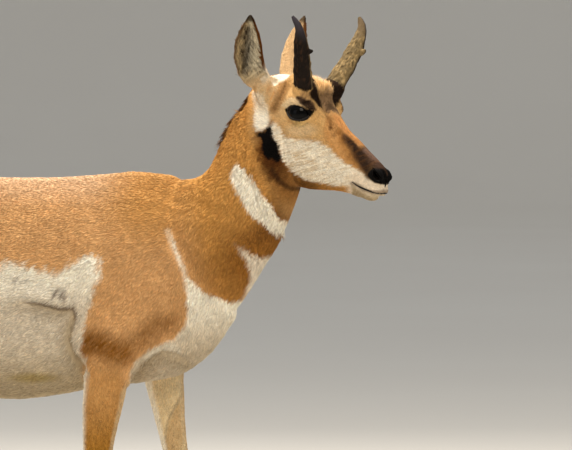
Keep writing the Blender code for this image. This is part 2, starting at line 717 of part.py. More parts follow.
def main():
    """Builds every node of the pronghorn."""
    for obj in list(bpy.data.objects):
        bpy.data.objects.remove(obj)
    parent = bpy.data.objects.new("pronghorn", None)
    bpy.context.scene.collection.objects.link(parent)

    legs = [leg_piece(name, table) for name, table in leg_tables().items()]
    whole = fused("whole", trunk_pieces() + [neck_piece()] + head_pieces() + legs, BODY_VOXEL)
    relax(whole, 14, lambda points: np.ones(len(points)))
    front = fused("front", [neck_piece()] + head_pieces(), HEAD_VOXEL)
    relax(front, 5, lambda points: np.ones(len(points)))

    nodes = []
    head = make_head(front)
    neck = region(whole, "neck", [HEAD_SEAM, flipped(NECK_SEAM)], 950)
    combine(neck, mane_locks(neck), "UNION")
    torso = region(whole, "torso", [NECK_SEAM, TAIL_SEAM], 4900)
    boxes = []
    for name, table in leg_tables().items():
        fore = name.startswith("fore")
        seam, joint = (FORE_SEAM, KNEE_SEAM) if fore else (HIND_SEAM, HOCK_SEAM)
        rows = np.array(table)
        x, y = np.interp(-seam, -rows[:, 1], rows[:, 0]), rows[-1][4]
        half = 0.062 if fore else 0.115
        boxes.append(leg_box(x, y + math.copysign(0.020, y), seam + GAP / 2, half))
        upper = region(whole, name + "_upper", [((0, 0, seam), (0, 0, 1)), ((0, 0, joint), (0, 0, -1))], 300,
                       (x, y, joint + 0.03))
        lower = region(whole, name + "_lower", [((0, 0, joint), (0, 0, 1)), ((0, 0, HOOF_TOP), (0, 0, -1))], 340,
                       (rows[-4][0], y, 0.13))
        nodes += [(upper, "tan_coat"), (lower, "tan_coat")]
        for toe, side in (("outer", math.copysign(1, y)), ("inner", -math.copysign(1, y))):
            nodes.append((hoof(name + "_hoof_" + toe, rows[-1][0] + 0.001, y, side), "hoof"))
    combine(torso, boxes, "DIFFERENCE")
    nodes += [(torso, "tan_coat"), (neck, "tan_coat"), (head, "tan_coat"), (tail("tail"), "tan_coat")]
    for word, side in (("left", 1), ("right", -1)):
        nodes.append((eyeball("eye_" + word, side, EYE_RADIUS), "eye"))
        nodes.append((horn("horn_" + word, side), "horn"))
        nodes.append((ear("ear_" + word, side), "tan_coat"))
    bpy.data.objects.remove(whole)
    bpy.data.objects.remove(front)
    for obj, slot in nodes:
        finish(obj, slot, parent)


if __name__ == "__main__":
    main()
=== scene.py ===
"""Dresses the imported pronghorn: one skin with its coat, eyes, ears, horns and hooves, in a plain studio.

The skin is grown from the solids of the flesh, sunk by the depth of the coat, and covered with small
solid tufts that follow the lie of the hair. Skin and tufts take their colours from one set of markings.
"""
from __future__ import annotations

import json
import logging
import math
from dataclasses import dataclass, field, fields
from enum import Enum
from typing import Callable, Sequence

import bmesh
import bpy
import numpy as np
from bpy.types import Material, Mesh, Object
from bpy.types import NodeSocket as Socket
from bpy.types import NodeTree as Tree
from mathutils import Matrix, Vector

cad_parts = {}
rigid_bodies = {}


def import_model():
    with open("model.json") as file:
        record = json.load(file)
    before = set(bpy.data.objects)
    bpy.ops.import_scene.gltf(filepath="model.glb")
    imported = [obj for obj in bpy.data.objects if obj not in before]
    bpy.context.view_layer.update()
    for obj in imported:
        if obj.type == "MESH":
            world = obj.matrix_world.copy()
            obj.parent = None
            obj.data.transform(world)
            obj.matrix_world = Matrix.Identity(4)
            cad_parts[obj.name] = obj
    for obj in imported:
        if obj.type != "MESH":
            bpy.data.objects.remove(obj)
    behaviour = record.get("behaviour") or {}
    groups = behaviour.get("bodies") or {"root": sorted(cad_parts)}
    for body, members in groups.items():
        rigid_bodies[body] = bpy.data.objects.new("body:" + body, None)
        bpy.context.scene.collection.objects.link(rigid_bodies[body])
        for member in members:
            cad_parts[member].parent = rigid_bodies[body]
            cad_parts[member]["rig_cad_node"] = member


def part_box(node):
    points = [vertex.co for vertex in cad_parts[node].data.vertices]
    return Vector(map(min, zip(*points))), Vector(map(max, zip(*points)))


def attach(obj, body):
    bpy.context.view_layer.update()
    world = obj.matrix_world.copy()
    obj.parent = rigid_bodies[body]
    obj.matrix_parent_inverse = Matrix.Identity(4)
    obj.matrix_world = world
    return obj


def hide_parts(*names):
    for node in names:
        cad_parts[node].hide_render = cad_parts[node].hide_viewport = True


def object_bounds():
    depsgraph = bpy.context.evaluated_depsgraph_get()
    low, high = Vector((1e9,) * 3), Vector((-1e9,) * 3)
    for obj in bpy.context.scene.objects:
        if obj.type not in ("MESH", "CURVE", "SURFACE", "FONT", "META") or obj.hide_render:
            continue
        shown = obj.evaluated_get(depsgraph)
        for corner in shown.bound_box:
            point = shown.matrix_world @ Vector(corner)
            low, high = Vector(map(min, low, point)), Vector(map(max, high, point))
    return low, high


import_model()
CAD_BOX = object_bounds()

log = logging.getLogger("pronghorn")
Array = np.ndarray
Path = Sequence[Sequence[float]]
Test = Callable[[Array], Array]
SIDES = ((1, "left"), (-1, "right"))

# The camera looks across the animal from its right side, a little from the front and from above.
VIEW_AZIMUTH = math.radians(10.0)
VIEW_ELEVATION = math.radians(2.0)
VIEW_DISTANCE = 8.0
VIEW_WIDTH = 1.001                       # metres across the picture at the animal
VIEW_FROM_BODY = (0.3255, 0.7525)        # middle of the picture: along and up from the body's own zero
HEAD_YAW = math.radians(-23.0)
HEAD_PITCH = math.radians(27.0)
EYE_FORWARD = -0.003                     # eyeballs, in the head's frame
EYE_OUT = 0.0365
EYE_RADIUS = 0.0235
HEAD_FROM_BODY = (0.386, -0.034, 0.9485)  # midway between the eyes, from the body's own zero
EAR_PATH = ((-0.084, 0.045, 0.004), (-0.127, 0.075, 0.057), (-0.144, 0.087, 0.1175))   # left ear, root to tip
EAR_FOOT_HAIR = (-0.088, 0.049, 0.008)   # middle of the pale hair round the ear's foot
EAR_OPENS = (0.22, 0.95, 0.10)           # the way that the left ear opens
EAR_ROLL = ((0.0, 0.14, 0.22, 0.33, 0.46, 0.60, 0.74, 1.0), (90, 100, 116, 118, 108, 98, 92, 90))
HORN_FOOT = ((-0.008, 0.035, 0.020), (-0.013, 0.049, 0.046))
HORN_SHAFT = ((-0.013, 0.049, 0.046), (-0.024, 0.086, 0.112))
JAW_ANGLE = (0.296, -0.008, 0.870)       # where head and neck meet, and the way out of the neck there
OUT_OF_NECK = (0.939, -0.120, 0.322)
NECK_FOOT = (0.185, 0.0, 0.703)          # where neck and trunk meet
UP_THE_NECK = (0.966, 0.0, 0.260)
NAPE_ASIDE = 0.006                       # how far the nape lies to the right of the body's middle
FORELEG_RIGHT = 0.018                    # middles of the legs along the body, the right foreleg's first
FORELEG_LEFT = 0.125
HINDLEG_RIGHT = -0.595
HINDLEG_LEFT = -0.545
LEG_ASIDE = 0.086
KNEE_HEIGHT = 0.28
BEHIND_FORELEGS = -0.25


class Slot(str, Enum):
    """Material slots of the record."""

    COAT = "coat"
    EYE = "eye"
    HORN = "horn"
    HOOF = "hoof"


def linear(code: str) -> Array:
    """An sRGB hex code's red, green and blue, linear, from 0 to 1."""
    channels = np.array([int(code[k:k + 2], 16) / 255.0 for k in (0, 2, 4)])
    return np.where(channels <= 0.04045, channels / 12.92, ((channels + 0.055) / 1.055) ** 2.4)


def blend(first: Array, second: Array, share: Array) -> Array:
    """The first rows, giving way to the second by the share of each row."""
    part = share[:, None]
    return first * (1 - part) + second * part


def held(value: Array) -> Array:
    """Values kept from 0 to 1."""
    return np.clip(value, 0.0, 1.0)


def step(low: float, high: float, value: Array) -> Array:
    """A smooth rise from 0 where the value is low to 1 where it is high; low may be above high."""
    t = held((value - low) / (high - low))
    return t * t * (3.0 - 2.0 * t)


def unit(vectors: Array) -> Array:
    """The same directions with length 1."""
    return vectors / np.maximum(np.linalg.norm(vectors, axis=-1, keepdims=True), 1e-9)


def oval(points: Array, middle: Sequence[float], reach: Sequence[float]) -> Array:
    """Distance from a middle, counted in its reach along each axis."""
    return np.linalg.norm((points - np.array(middle)) / np.array(reach), axis=1)


def bell(value: Array, width: float) -> Array:
    """1 at zero, falling away to both sides over the width."""
    return np.exp(-(value / width) ** 2)


def folded(points: Array) -> Array:
    """Points with the right half folded over to the left."""
    return np.stack([points[:, 0], np.abs(points[:, 1]), points[:, 2]], 1)


def cell_noise(points: Array, size: float, seed: int) -> Array:
    """Smooth value noise in space.

    Args:
        points: Positions, one row each.
        size: Size of the noise's cells in metres.
        seed: Which noise.

    Returns:
        One value from -1 to 1 for each point.
    """
    scaled = points / size + 57.3 * seed
    base = np.floor(scaled).astype(np.int64)
    part = scaled - base
    part = part * part * (3 - 2 * part)
    total = np.zeros(len(points))
    for corner in range(8):
        offset = np.array([(corner >> k) & 1 for k in range(3)])
        cell = base + offset
        mixed = (cell[:, 0] * 73856093) ^ (cell[:, 1] * 19349663) ^ (cell[:, 2] * 83492791) ^ (seed * 2654435)
        value = ((mixed * 1103515245 + 12345) & 0x7FFFFFFF) % 100003 / 50001.0 - 1.0
        total += value * np.prod(np.where(offset, part, 1 - part), axis=1)
    return total


def segment_distance(points: Array, a: Array, b: Array) -> Array:
    """Distance from points to the straight line from a to b, in any number of dimensions."""
    along = b - a
    t = held(((points - a) @ along) / max(float(along @ along), 1e-12))
    return np.linalg.norm(points - a - t[:, None] * along, axis=1)


def path_distance(points: Array, path: Path) -> Array:
    """Distance from points to a bent line through the path's corners."""
    corners = np.array(path, float)
    return np.min([segment_distance(points, a, b) for a, b in zip(corners, corners[1:])], axis=0)


def path_side(flat: Array, path: Path) -> Array:
    """Signed distance to a bent line in the side view.

    Args:
        flat: Points in the side view, in millimetres.
        path: Corners of the line, in millimetres.

    Returns:
        Distance in millimetres: positive on the line's left, negative on its right.
    """
    corners = np.array(path, float)
    nearest, signed = np.full(len(flat), 1e9), np.zeros(len(flat))
    for a, b in zip(corners, corners[1:]):
        gap = segment_distance(flat, a, b)
        turn = (b[0] - a[0]) * (flat[:, 1] - a[1]) - (b[1] - a[1]) * (flat[:, 0] - a[0])
        signed = np.where(gap < nearest, np.copysign(gap, turn), signed)
        nearest = np.minimum(nearest, gap)
    return signed


def inside(flat: Array, outline: Path) -> Array:
    """Signed distance to an outline, positive inside.

    Args:
        flat: Points in the side view, in millimetres.
        outline: Corners of the outline, in millimetres.

    Returns:
        Distance in millimetres.
    """
    corners = np.array(outline, float)
    nearest = np.full(len(flat), 1e9)
    within = np.zeros(len(flat), bool)
    for a, b in zip(corners, np.roll(corners, -1, axis=0)):
        nearest = np.minimum(nearest, segment_distance(flat, a, b))
        crosses = (a[1] > flat[:, 1]) != (b[1] > flat[:, 1])
        height = b[1] - a[1] if abs(b[1] - a[1]) > 1e-9 else 1e-9
        within ^= crosses & (flat[:, 0] < (b[0] - a[0]) * (flat[:, 1] - a[1]) / height + a[0])
    return np.where(within, nearest, -nearest)


def view_direction() -> tuple[float, float, float]:
    """From the animal towards the camera's place."""
    return (math.sin(VIEW_AZIMUTH) * math.cos(VIEW_ELEVATION),
        -math.cos(VIEW_AZIMUTH) * math.cos(VIEW_ELEVATION), math.sin(VIEW_ELEVATION))


class Bearings:
    """Where the body's and the head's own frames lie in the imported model."""

    def __init__(self) -> None:
        """Finds the head's frame from its eyeballs, and the body's from the head's."""
        boxes = [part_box(node) for node in ("eye_left", "eye_right")]
        left, right = ((Vector(low) + Vector(high)) / 2 for low, high in boxes)
        self.turn = np.array(Matrix.Rotation(HEAD_YAW, 3, "Z") @ Matrix.Rotation(HEAD_PITCH, 3, "Y"))
        self.head = np.array((left + right) / 2) - self.turn @ np.array((EYE_FORWARD, 0.0, 0.0))
        self.body = self.head - np.array(HEAD_FROM_BODY)
        self.body[2] = 0.0

    def to_head(self, points: Array) -> Array:
        """Points in the head's frame: along the face, to the left, and up."""
        return (points - self.head) @ self.turn

    def from_head(self, local: Array) -> Array:
        """Points of the head's frame placed in the model."""
        return local @ self.turn.T + self.head

    def mirrored(self, points: Array) -> Array:
        """Points in the head's frame, with the right half folded over to the left."""
        return folded(self.to_head(points))

    def head_side(self, points: Array) -> Array:
        """1 on the head's left, -1 on its right."""
        return np.sign(self.to_head(points)[:, 1])

    def side_view(self, points: Array, of_head: bool) -> Array:
        """Where points show from the camera's side, in millimetres, with the left side mirrored over.

        Args:
            points: Positions in the model.
            of_head: Mirror across the head's own middle and not the body's.

        Returns:
            Along and up, from the body's zero on the floor.
        """
        if of_head:
            own = self.from_head(self.mirrored(points) * (1, -1, 1)) - self.body
        else:
            own = folded(points - self.body) * (1, -1, 1)
        middle = np.array(VIEW_FROM_BODY)
        own = own - np.array((middle[0] / math.cos(VIEW_AZIMUTH), 0.0, middle[1]))
        right = np.array((math.cos(VIEW_AZIMUTH), math.sin(VIEW_AZIMUTH), 0.0))
        back = np.array(view_direction())
        nearer = VIEW_DISTANCE / (VIEW_DISTANCE - own @ back)
        seen = np.stack([own @ right, own @ np.cross(back, right)], axis=1)
        return (middle + seen * nearer[:, None]) * 1000.0

    def head_share(self, points: Array) -> Array:
        """0 on the neck to 1 on the head, across the throat."""
        beyond = (points - self.body - np.array(JAW_ANGLE)) @ unit(np.array(OUT_OF_NECK))
        return step(-0.012, 0.022, beyond)

    def neck_share(self, points: Array) -> Array:
        """0 on the trunk to 1 on the neck."""
        beyond = (points - self.body - np.array(NECK_FOOT)) @ unit(np.array(UP_THE_NECK))
        return step(-0.040, 0.040, beyond)

    def foreleg_middle(self, own: Array) -> Array:
        """Middle of the foreleg along the body: the left one slants back towards its elbow."""
        return np.where(own[:, 1] < 0, FORELEG_RIGHT, FORELEG_LEFT - 0.10 * (own[:, 2] - KNEE_HEIGHT))

    def leg_share(self, points: Array) -> Array:
        """0 on the trunk to 1 on the legs."""
        own = points - self.body
        low = step(0.545, 0.475, own[:, 2])
        aside = step(0.036, 0.052, np.abs(own[:, 1]))
        slant = np.where(own[:, 1] < 0, 0.07 * (own[:, 2] - KNEE_HEIGHT), 0.0)
        ahead = own[:, 0] - self.foreleg_middle(own) - slant
        fore = step(0.058, 0.046, np.abs(ahead) - 0.25 * np.maximum(0.0, 0.30 - own[:, 2]))
        fore *= 1 - step(0.020, 0.034, ahead) * step(0.465, 0.490, own[:, 2])
        hind = step(-0.385, -0.415, own[:, 0])
        return low * aside * held(fore + hind)

    def by_region(self, points: Array, trunk: float | Array, head: float, legs: float) -> Array:
        """A measure with one value on trunk and neck, one on the head and one on the legs."""
        on_head, on_legs = self.head_share(points), self.leg_share(points)
        return (trunk * (1 - on_head) + head * on_head) * (1 - on_legs) + legs * on_legs

    def ear(self, points: Array) -> tuple[Array, Array, Array, Array]:
        """Where points lie on an ear.

        Args:
            points: Positions in the model.

        Returns:
            0 on the head to 1 on the ear; the share of the ear's length; the way from its axis, in the folded
            head's frame; and the unit direction of its length there.
        """
        local = self.mirrored(points)
        path = np.array(EAR_PATH)
        first, second = path[1] - path[0], path[2] - path[1]
        lengths = np.linalg.norm(first), np.linalg.norm(second)
        best, share = np.full(len(points), 9.0), np.zeros(len(points))
        away, along = np.zeros_like(local), np.zeros_like(local)
        for k, (start, leg) in enumerate(((path[0], first), (path[1], second))):
            t = ((local - start) @ leg) / float(leg @ leg)
            kept = np.clip(t, 0 if k else -1, 1 if not k else 2)
            off = local - start - kept[:, None] * leg
            gap = np.linalg.norm(off, axis=1)
            nearer = gap < best
            best = np.where(nearer, gap, best)
            share = np.where(nearer, (kept * lengths[k] + k * lengths[0]) / sum(lengths), share)
            away[nearer], along[nearer] = off[nearer], unit(leg)
        on_ear = step(0.02, 0.16, share) * step(0.042, 0.036, best)
        return on_ear, share, unit(away), along

    def in_ear(self, points: Array, normals: Array) -> Array:
        """0 behind an ear to 1 in its hollow, by the way that the skin faces."""
        _, share, away, _ = self.ear(points)
        own = normals @ self.turn
        own[:, 1] *= self.head_side(points)
        return step(0.05, -0.35, np.sum(own * away, axis=1)) * step(0.10, 0.20, share)


WHERE = Bearings()

# Outlines of the markings on the right side, seen from the camera: millimetres along and up.
FLANK_WHITE = ((-455, 542), (-438, 621), (-350, 677), (-245, 688), (-175, 682), (-158, 690), (-136, 687),
    (-122, 677), (-91, 670), (-65, 671), (-52, 686), (-37, 698), (-23, 703), (-9, 695), (0, 686), (-3, 668),
    (-12, 635), (-21, 602), (-29, 565), (-34, 542), (-35, 528), (-28, 516), (-23, 495), (-21, 359),
    (-455, 359))
UPPER_BAND = ((240, 858), (228, 838), (238, 812), (259, 775), (298, 744), (316, 733), (345, 722), (350, 752),
    (331, 756), (316, 760), (296, 789), (270, 825), (254, 851))
LOWER_BAND = ((234, 720), (252, 709), (280, 696), (301, 697), (335, 712), (300, 640), (262, 612), (245, 620),
    (255, 636), (264, 658), (262, 680), (250, 697))
CHEST_WHITE = ((147, 669), (161, 654), (186, 630), (226, 618), (245, 620), (290, 622), (290, 400), (54, 400),
    (54, 497), (65, 516), (86, 534), (109, 542), (131, 551), (147, 572), (154, 604), (152, 640), (146, 677),
    (128, 726), (124, 733), (135, 690))
CHEEK_WHITE = ((298, 926), (304, 928), (313, 922), (318, 912), (327, 902), (341, 901), (357, 902), (373, 898),
    (388, 893), (401, 886), (413, 873), (425, 860), (441, 852), (457, 845), (466, 835), (476, 824),
    (490, 822), (514, 824), (514, 808), (480, 808), (458, 816), (441, 822), (420, 820), (402, 823),
    (385, 828), (371, 830), (355, 833), (345, 842), (332, 852), (322, 866), (315, 884), (306, 900),
    (301, 914))
CHEEK_BLACK = ((297, 929), (300, 919), (304, 905), (313, 887), (319, 872), (315, 861), (301, 864), (289, 868),
    (284, 877), (284, 891), (281, 903), (276, 908), (275, 914), (280, 916), (285, 915), (290, 918),
    (294, 922))
THROAT_DARK = ((287, 877), (304, 870), (320, 868), (331, 854), (345, 841), (359, 831), (355, 816), (332, 816),
    (317, 826), (301, 835), (289, 852))
THROAT_CREASE_SHADOW = ((301, 849), (310, 835), (322, 822), (336, 816), (355, 817))
JAW = ((345, 840), (360, 829), (385, 826), (402, 822), (422, 819), (441, 819), (446, 803), (420, 807),
    (385, 808), (350, 812))
CHIN = ((441, 823), (450, 822), (458, 816), (469, 811), (480, 808), (490, 809), (506, 811), (504, 785),
    (441, 785), (441, 805))
NOSE_BLACK = ((470, 845), (478, 852), (486, 854), (494, 851), (499, 846), (503, 838), (506, 830), (504, 822),
    (501, 815), (499, 823), (490, 824), (481, 826), (473, 832), (468, 839))
EYE_RIM = ((323, 955), (329, 959), (338, 961), (346, 962), (355, 960), (362, 956), (369, 953), (375, 953),
    (373, 947), (368, 942), (362, 938), (354, 935), (345, 934), (336, 936), (329, 942), (326, 948))
LID_FOLD = ((317, 961), (326, 971), (336, 976), (346, 972), (355, 965), (364, 957), (355, 961), (346, 963),
    (336, 962), (326, 957))
BROW = ((346, 976), (355, 974), (366, 970), (374, 963), (376, 954), (369, 953), (362, 957), (355, 963),
    (348, 970))
HORN_HEM = ((330, 1030), (334, 1010), (343, 994), (352, 988), (362, 985), (369, 990), (373, 999), (376, 1030))
BROW_STRIPE = ((372, 1007), (377, 1001), (380, 992), (381, 982), (385, 968), (389, 957), (382, 959),
    (376, 968), (369, 976), (367, 984), (372, 990))
FOREHEAD = ((381, 972), (384, 983), (396, 986), (408, 982), (414, 969), (410, 952), (399, 946), (390, 955))
FACE_TAN = ((396, 955), (406, 943), (429, 924), (444, 910), (455, 884), (462, 856), (457, 850), (441, 856),
    (427, 861), (413, 875), (402, 887), (396, 896), (392, 905), (393, 919), (395, 940))
FACE_BAND = ((401, 937), (409, 925), (421, 912), (433, 903))
FACE_RIDGE = ((385, 961), (394, 947), (403, 935), (404, 924))
NOSE_DARK = ((424, 914), (438, 907), (453, 898), (469, 887), (483, 876), (497, 864), (518, 852), (518, 831),
    (504, 835), (490, 853), (476, 854), (466, 844), (457, 850), (451, 859), (445, 872), (439, 885),
    (429, 896))
NOSE_DARKEST = ((438, 897), (447, 887), (455, 870), (462, 856), (470, 846))
NOSE_GREY = ((466, 884), (480, 872), (494, 864), (508, 850))
SPOT_WHITE = ((266, 984), (278, 985), (287, 976), (292, 961), (297, 942), (295, 926), (284, 918), (273, 917),
    (269, 933), (270, 954), (271, 970))
EAR_FOOT = ((290, 999), (308, 1006), (322, 1003), (322, 975), (313, 954), (318, 940), (322, 924), (310, 926),
    (299, 929), (298, 950), (292, 975))
EAR_CREASE = ((326, 1000), (320, 985), (313, 972), (305, 955))
EAR_HOLLOW = ((249, 1097), (262, 1099), (268, 1083), (268, 1066), (266, 1048), (262, 1030), (257, 1012),
    (249, 1017), (247, 1036), (245, 1057), (247, 1080))
FLANK_FOLD = ((-175, 616), (-140, 620), (-102, 616), (-74, 607), (-47, 607), (-42, 598), (-42, 586),
    (-46, 569), (-49, 550), (-46, 536), (-35, 522), (-26, 508))
BRISKET_FOLD = ((56, 485), (66, 499), (77, 513), (91, 525), (110, 535), (131, 534), (150, 522), (164, 509))
ELBOW_SHADE = ((-33, 536), (-10, 547), (16, 534), (38, 530))
ELBOW_SHADE_STREAK = ((38, 530), (63, 546), (80, 562), (98, 578), (122, 583))
SHOULDER_BLADE = ((62, 800), (88, 730), (112, 662), (104, 620))
BEHIND_BLADE = ((-14, 775), (-2, 720), (8, 670))
NECK_GROOVE = ((118, 742), (128, 715), (146, 675), (153, 640))
# Forms of the body, the same on both sides: middle, reach and height in metres
BODY_FORMS = (((-0.375, 0.115, 0.745), (0.050, 0.060, 0.040), -0.0085),
    ((-0.470, 0.085, 0.805), (0.032, 0.040, 0.028), 0.0060),
    ((-0.640, 0.060, 0.735), (0.030, 0.035, 0.035), 0.0040),
    ((-0.560, 0.120, 0.620), (0.060, 0.050, 0.080), 0.0040),
    ((-0.470, 0.110, 0.560), (0.030, 0.050, 0.060), -0.0040),
    ((0.020, 0.110, 0.560), (0.040, 0.040, 0.030), 0.0030))
# Forms of the head, in its own frame: middle, reach and height in metres
FACE_FORMS = (((-0.006, 0.000, 0.042), (0.017, 0.031, 0.030), 0.0160),
    ((0.045, 0.036, -0.020), (0.030, 0.020, 0.008), 0.0014),
    ((0.050, 0.034, -0.045), (0.040, 0.020, 0.012), -0.0018),
    ((0.060, 0.022, 0.000), (0.030, 0.012, 0.014), -0.0012),
    ((0.006, 0.052, -0.026), (0.022, 0.020, 0.006), -0.0012),
    ((0.031, 0.040, -0.002), (0.010, 0.014, 0.007), -0.0022),
    ((-0.045, 0.050, -0.030), (0.018, 0.020, 0.040), -0.0015),
    ((0.168, 0.000, -0.079), (0.016, 0.016, 0.008), 0.0012),
    ((0.186, 0.000, -0.040), (0.010, 0.0028, 0.012), -0.0012),
    ((0.176, 0.016, -0.0185), (0.014, 0.008, 0.005), 0.0014))
MOUTH_SHADE = ((441, 826), (452, 822), (462, 815), (474, 811), (488, 810), (498, 812))
MOUTH = ((0.134, 0.0245, -0.0655), (0.150, 0.0250, -0.0670), (0.166, 0.0235, -0.0655),
    (0.180, 0.0160, -0.0610), (0.190, 0.0070, -0.0565), (0.193, 0.0, -0.0550))
NOSTRIL = (0.1725, 0.0200, -0.0310)
NOSTRIL_TILT = math.radians(30.0)
NECK_FRONT_SHADE = ((262, 690), (318, 730), (352, 800), (372, 850))
NECK_TOP = ((300, 870), (330, 820), (372, 850))
TENDON = ((84, 355), (94, 400), (112, 440), (122, 480))
# Grooves and ridges of the body along lines of the side view: line, width in millimetres, depth in metres
BODY_LINES = ((NECK_GROOVE, 15.0, 0.0045), (SHOULDER_BLADE, 34.0, -0.0030), (BEHIND_BLADE, 24.0, 0.0022),
    (ELBOW_SHADE_STREAK, 8.0, 0.0018))


class Swatch:
    """Some points of the coat in the side view, and the colour that is laid on them layer by layer."""

    def __init__(self, flat: Array, colour: str | Array) -> None:
        """Starts from the side view in millimetres, with one hex code or with rows of linear colours."""
        self.flat = flat
        self.along, self.up = flat.T
        self.colour = np.tile(linear(colour), (len(flat), 1)) if isinstance(colour, str) else colour

    def lay(self, code: str, share: Array) -> None:
        """Lays a colour over what is there, by its share."""
        self.colour = blend(self.colour, linear(code), held(share))

    def within(self, outline: Path, low: float, high: float, frayed: float | Array = 0.0) -> Array:
        """0 at low millimetres into an outline to 1 at high, with a frayed edge."""
        return step(low, high, inside(self.flat, outline) + frayed)

    def beside(self, path: Path, far: float, near: float) -> Array:
        """0 at far millimetres from a bent line to 1 at near."""
        return step(far, near, path_distance(self.flat, path))

    def spot(self, along: float, up: float, long: float, high: float, full: float = 0.3) -> Array:
        """0 at the edge of an oval to 1 inside the full part of it."""
        return step(1.0, full, np.hypot((self.along - along) / long, (self.up - up) / high))

    def hairs(self, angle: float, long: float, wide: float, seed: int) -> Array:
        """Noise drawn out along one direction of the side view, as combed hair is.

        Args:
            angle: The direction in degrees from level.
            long: Length of a streak in millimetres.
            wide: Width of a streak in millimetres.
            seed: Which noise.

        Returns:
            One value from -1 to 1 for each point.
        """
        turn = math.radians(angle)
        along = self.along * math.cos(turn) + self.up * math.sin(turn)
        across = self.up * math.cos(turn) - self.along * math.sin(turn)
        return cell_noise(np.stack([along / long, across / wide, np.zeros(len(along))], 1), 1.0, seed)


@dataclass(frozen=True)
class Pelage:
    """Colours of a pronghorn's coat in summer, and where they lie."""

    tan: str = "d6a670"
    # the back's tan lightened along the top of the back: a painted highlight
    back: str = "e7c4a0"
    neck: str = "c8934e"
    deep_tan: str = "88561c"
    umber: str = "5f3410"
    cream: str = "dcc6a0"
    white: str = "f4ecda"
    # cream of the lower chest and belly, and a darker one lower down: dingy hair and painted shade
    belly: str = "d6c8b2"
    under: str = "b09d7c"
    # yellow-olive stain low on the belly; the same colour is the painted shade under the eye
    stain: str = "a08a4c"
    leg: str = "a6742c"
    leg_inside: str = "ecd8ae"
    face: str = "cfa66c"
    face_side: str = "c8955a"
    forehead: str = "7a6049"
    bridge: str = "bf8750"
    cheek: str = "e6dac4"
    cheek_streak: str = "bb9d6e"
    jaw: str = "a87636"
    lip: str = "e8d8c0"
    chin: str = "9c8660"
    # grey-cream of the chin, darkened as painted shade; also the painted shade under the brisket's and the
    # flank's folds
    mask: str = "503a2e"
    mask_pale: str = "84685a"
    brown: str = "4c2a0e"
    dark: str = "1e1209"
    black: str = "050302"
    ear_back: str = "c4a47a"
    ear_hair: str = "a8946f"
    ear_white: str = "c9bfa6"
    ear_dark: str = "2a2018"
    ear_rim: str = "4a2a10"
    ear_edge: str = "633a14"
    temple: str = "cdb084"

    def at(self, points: Array, normals: Array) -> Array:
        """Colour of the coat at each point.

        Args:
            points: Positions on the skin.
            normals: Directions out of the skin there.

        Returns:
            Linear red, green and blue, one row each.
        """
        colour = self._body(points, normals)
        for share, lay in ((WHERE.head_share(points), self._head), (WHERE.ear(points)[0], self._ear)):
            here = share > 0
            if np.any(here):
                colour[here] = blend(colour[here], lay(points[here], normals[here]), share[here])
        patchy = 1.0 + 0.05 * cell_noise(points, 0.035, 3) + 0.05 * cell_noise(points, 0.009, 4)
        patchy += 0.10 * cell_noise(points, 0.0042, 8)
        return held(colour * patchy[:, None])

    def _ragged(self, points: Array) -> Array:
        """How far the edge of a marking wanders at each point, in millimetres."""
        return 2.6 * cell_noise(points, 0.006, 1) + 2.2 * cell_noise(points, 0.016, 2)

    def _body(self, points: Array, normals: Array) -> Array:
        """Colours of trunk, neck and legs."""
        coat = Swatch(WHERE.side_view(points, False), self.tan)
        lay, flat, x, y = coat.lay, coat.flat, coat.along, coat.up
        own = points - WHERE.body
        height, off_middle = own[:, 2], np.abs(own[:, 1])
        aside = step(0.02, 0.05, off_middle)
        ragged, neck = self._ragged(points), WHERE.neck_share(points)
        combed, feathered = coat.hairs(42.0, 9.0, 2.2, 5), coat.hairs(62.0, 13.0, 3.0, 6)
        # Back, with a painted highlight along its top; neck and shoulder
        lay(self.back, 0.75 * step(770, 842, y) * step(120, -40, x))
        lay(self.neck, neck)
        lay(self.neck, 0.75 * step(120, 20, np.hypot(x - 95, y - 800)))
        lay(self.deep_tan, 0.40 * step(135, 25, np.hypot(x - 236, (y - 655) * 0.9)))
        # Painted shade: the neck darkens towards its front, in deep tan, and in umber higher up.
        front = path_distance(flat, NECK_FRONT_SHADE)
        lay(self.deep_tan, 0.72 * step(75, 12, front))
        lay(self.umber, 0.88 * step(62, 14, front) * step(705, 765, y))
        lay(self.umber, 0.30 * held(coat.hairs(58.0, 8.0, 2.2, 12)) * neck)
        # Painted shade at the elbow, in deep tan streaked with the hair.
        elbow = np.maximum(coat.beside(ELBOW_SHADE, 40, 6), 0.62 * coat.beside(ELBOW_SHADE_STREAK, 30, 2))
        lay(self.deep_tan, (0.88 + 0.30 * combed) * elbow * aside)
        # Bands of the neck, and the chest
        lay(self.white, 0.35 * coat.beside(NECK_GROOVE, 9, 2))
        lay(self.white, coat.within(UPPER_BAND, -3.5, 3.5, ragged))
        lay(self.white, 0.78 * step(225, 262, x) * coat.within(LOWER_BAND, -6, 6, ragged))
        chest = inside(flat, CHEST_WHITE)
        lay(self.white, step(-4, 4, chest + ragged) * step(0.30, 0.44, height))
        # The lower chest: dingy cream and painted shade, darker lower down.
        lay(self.belly, step(-6, 6, chest) * step(0.61, 0.52, height))
        lay(self.under, 0.35 * step(-6, 6, chest) * step(0.62, 0.52, height))
        # The brisket's fold: painted shade under it, in the chin's grey, and a painted highlight in white
        # along its edge.
        brisket = path_side(flat, BRISKET_FOLD)
        below = step(1, -2, brisket) * step(-34, -8, brisket)
        lay(self.chin, 0.32 * below * step(40, 62, x) * step(170, 150, x))
        lay(self.white, 0.7 * step(7, 2, np.abs(brisket - 4.0)) * step(70, 90, x) * step(150, 130, x))
        # White of the flank and the belly, darker lower down with dingy hair and painted shade, and the
        # painted shade of its folds
        flank = step(-7, 7, inside(flat, FLANK_WHITE) + 2.0 * ragged + 5.5 * feathered * step(650, 665, y))
        lay(self.white, flank)
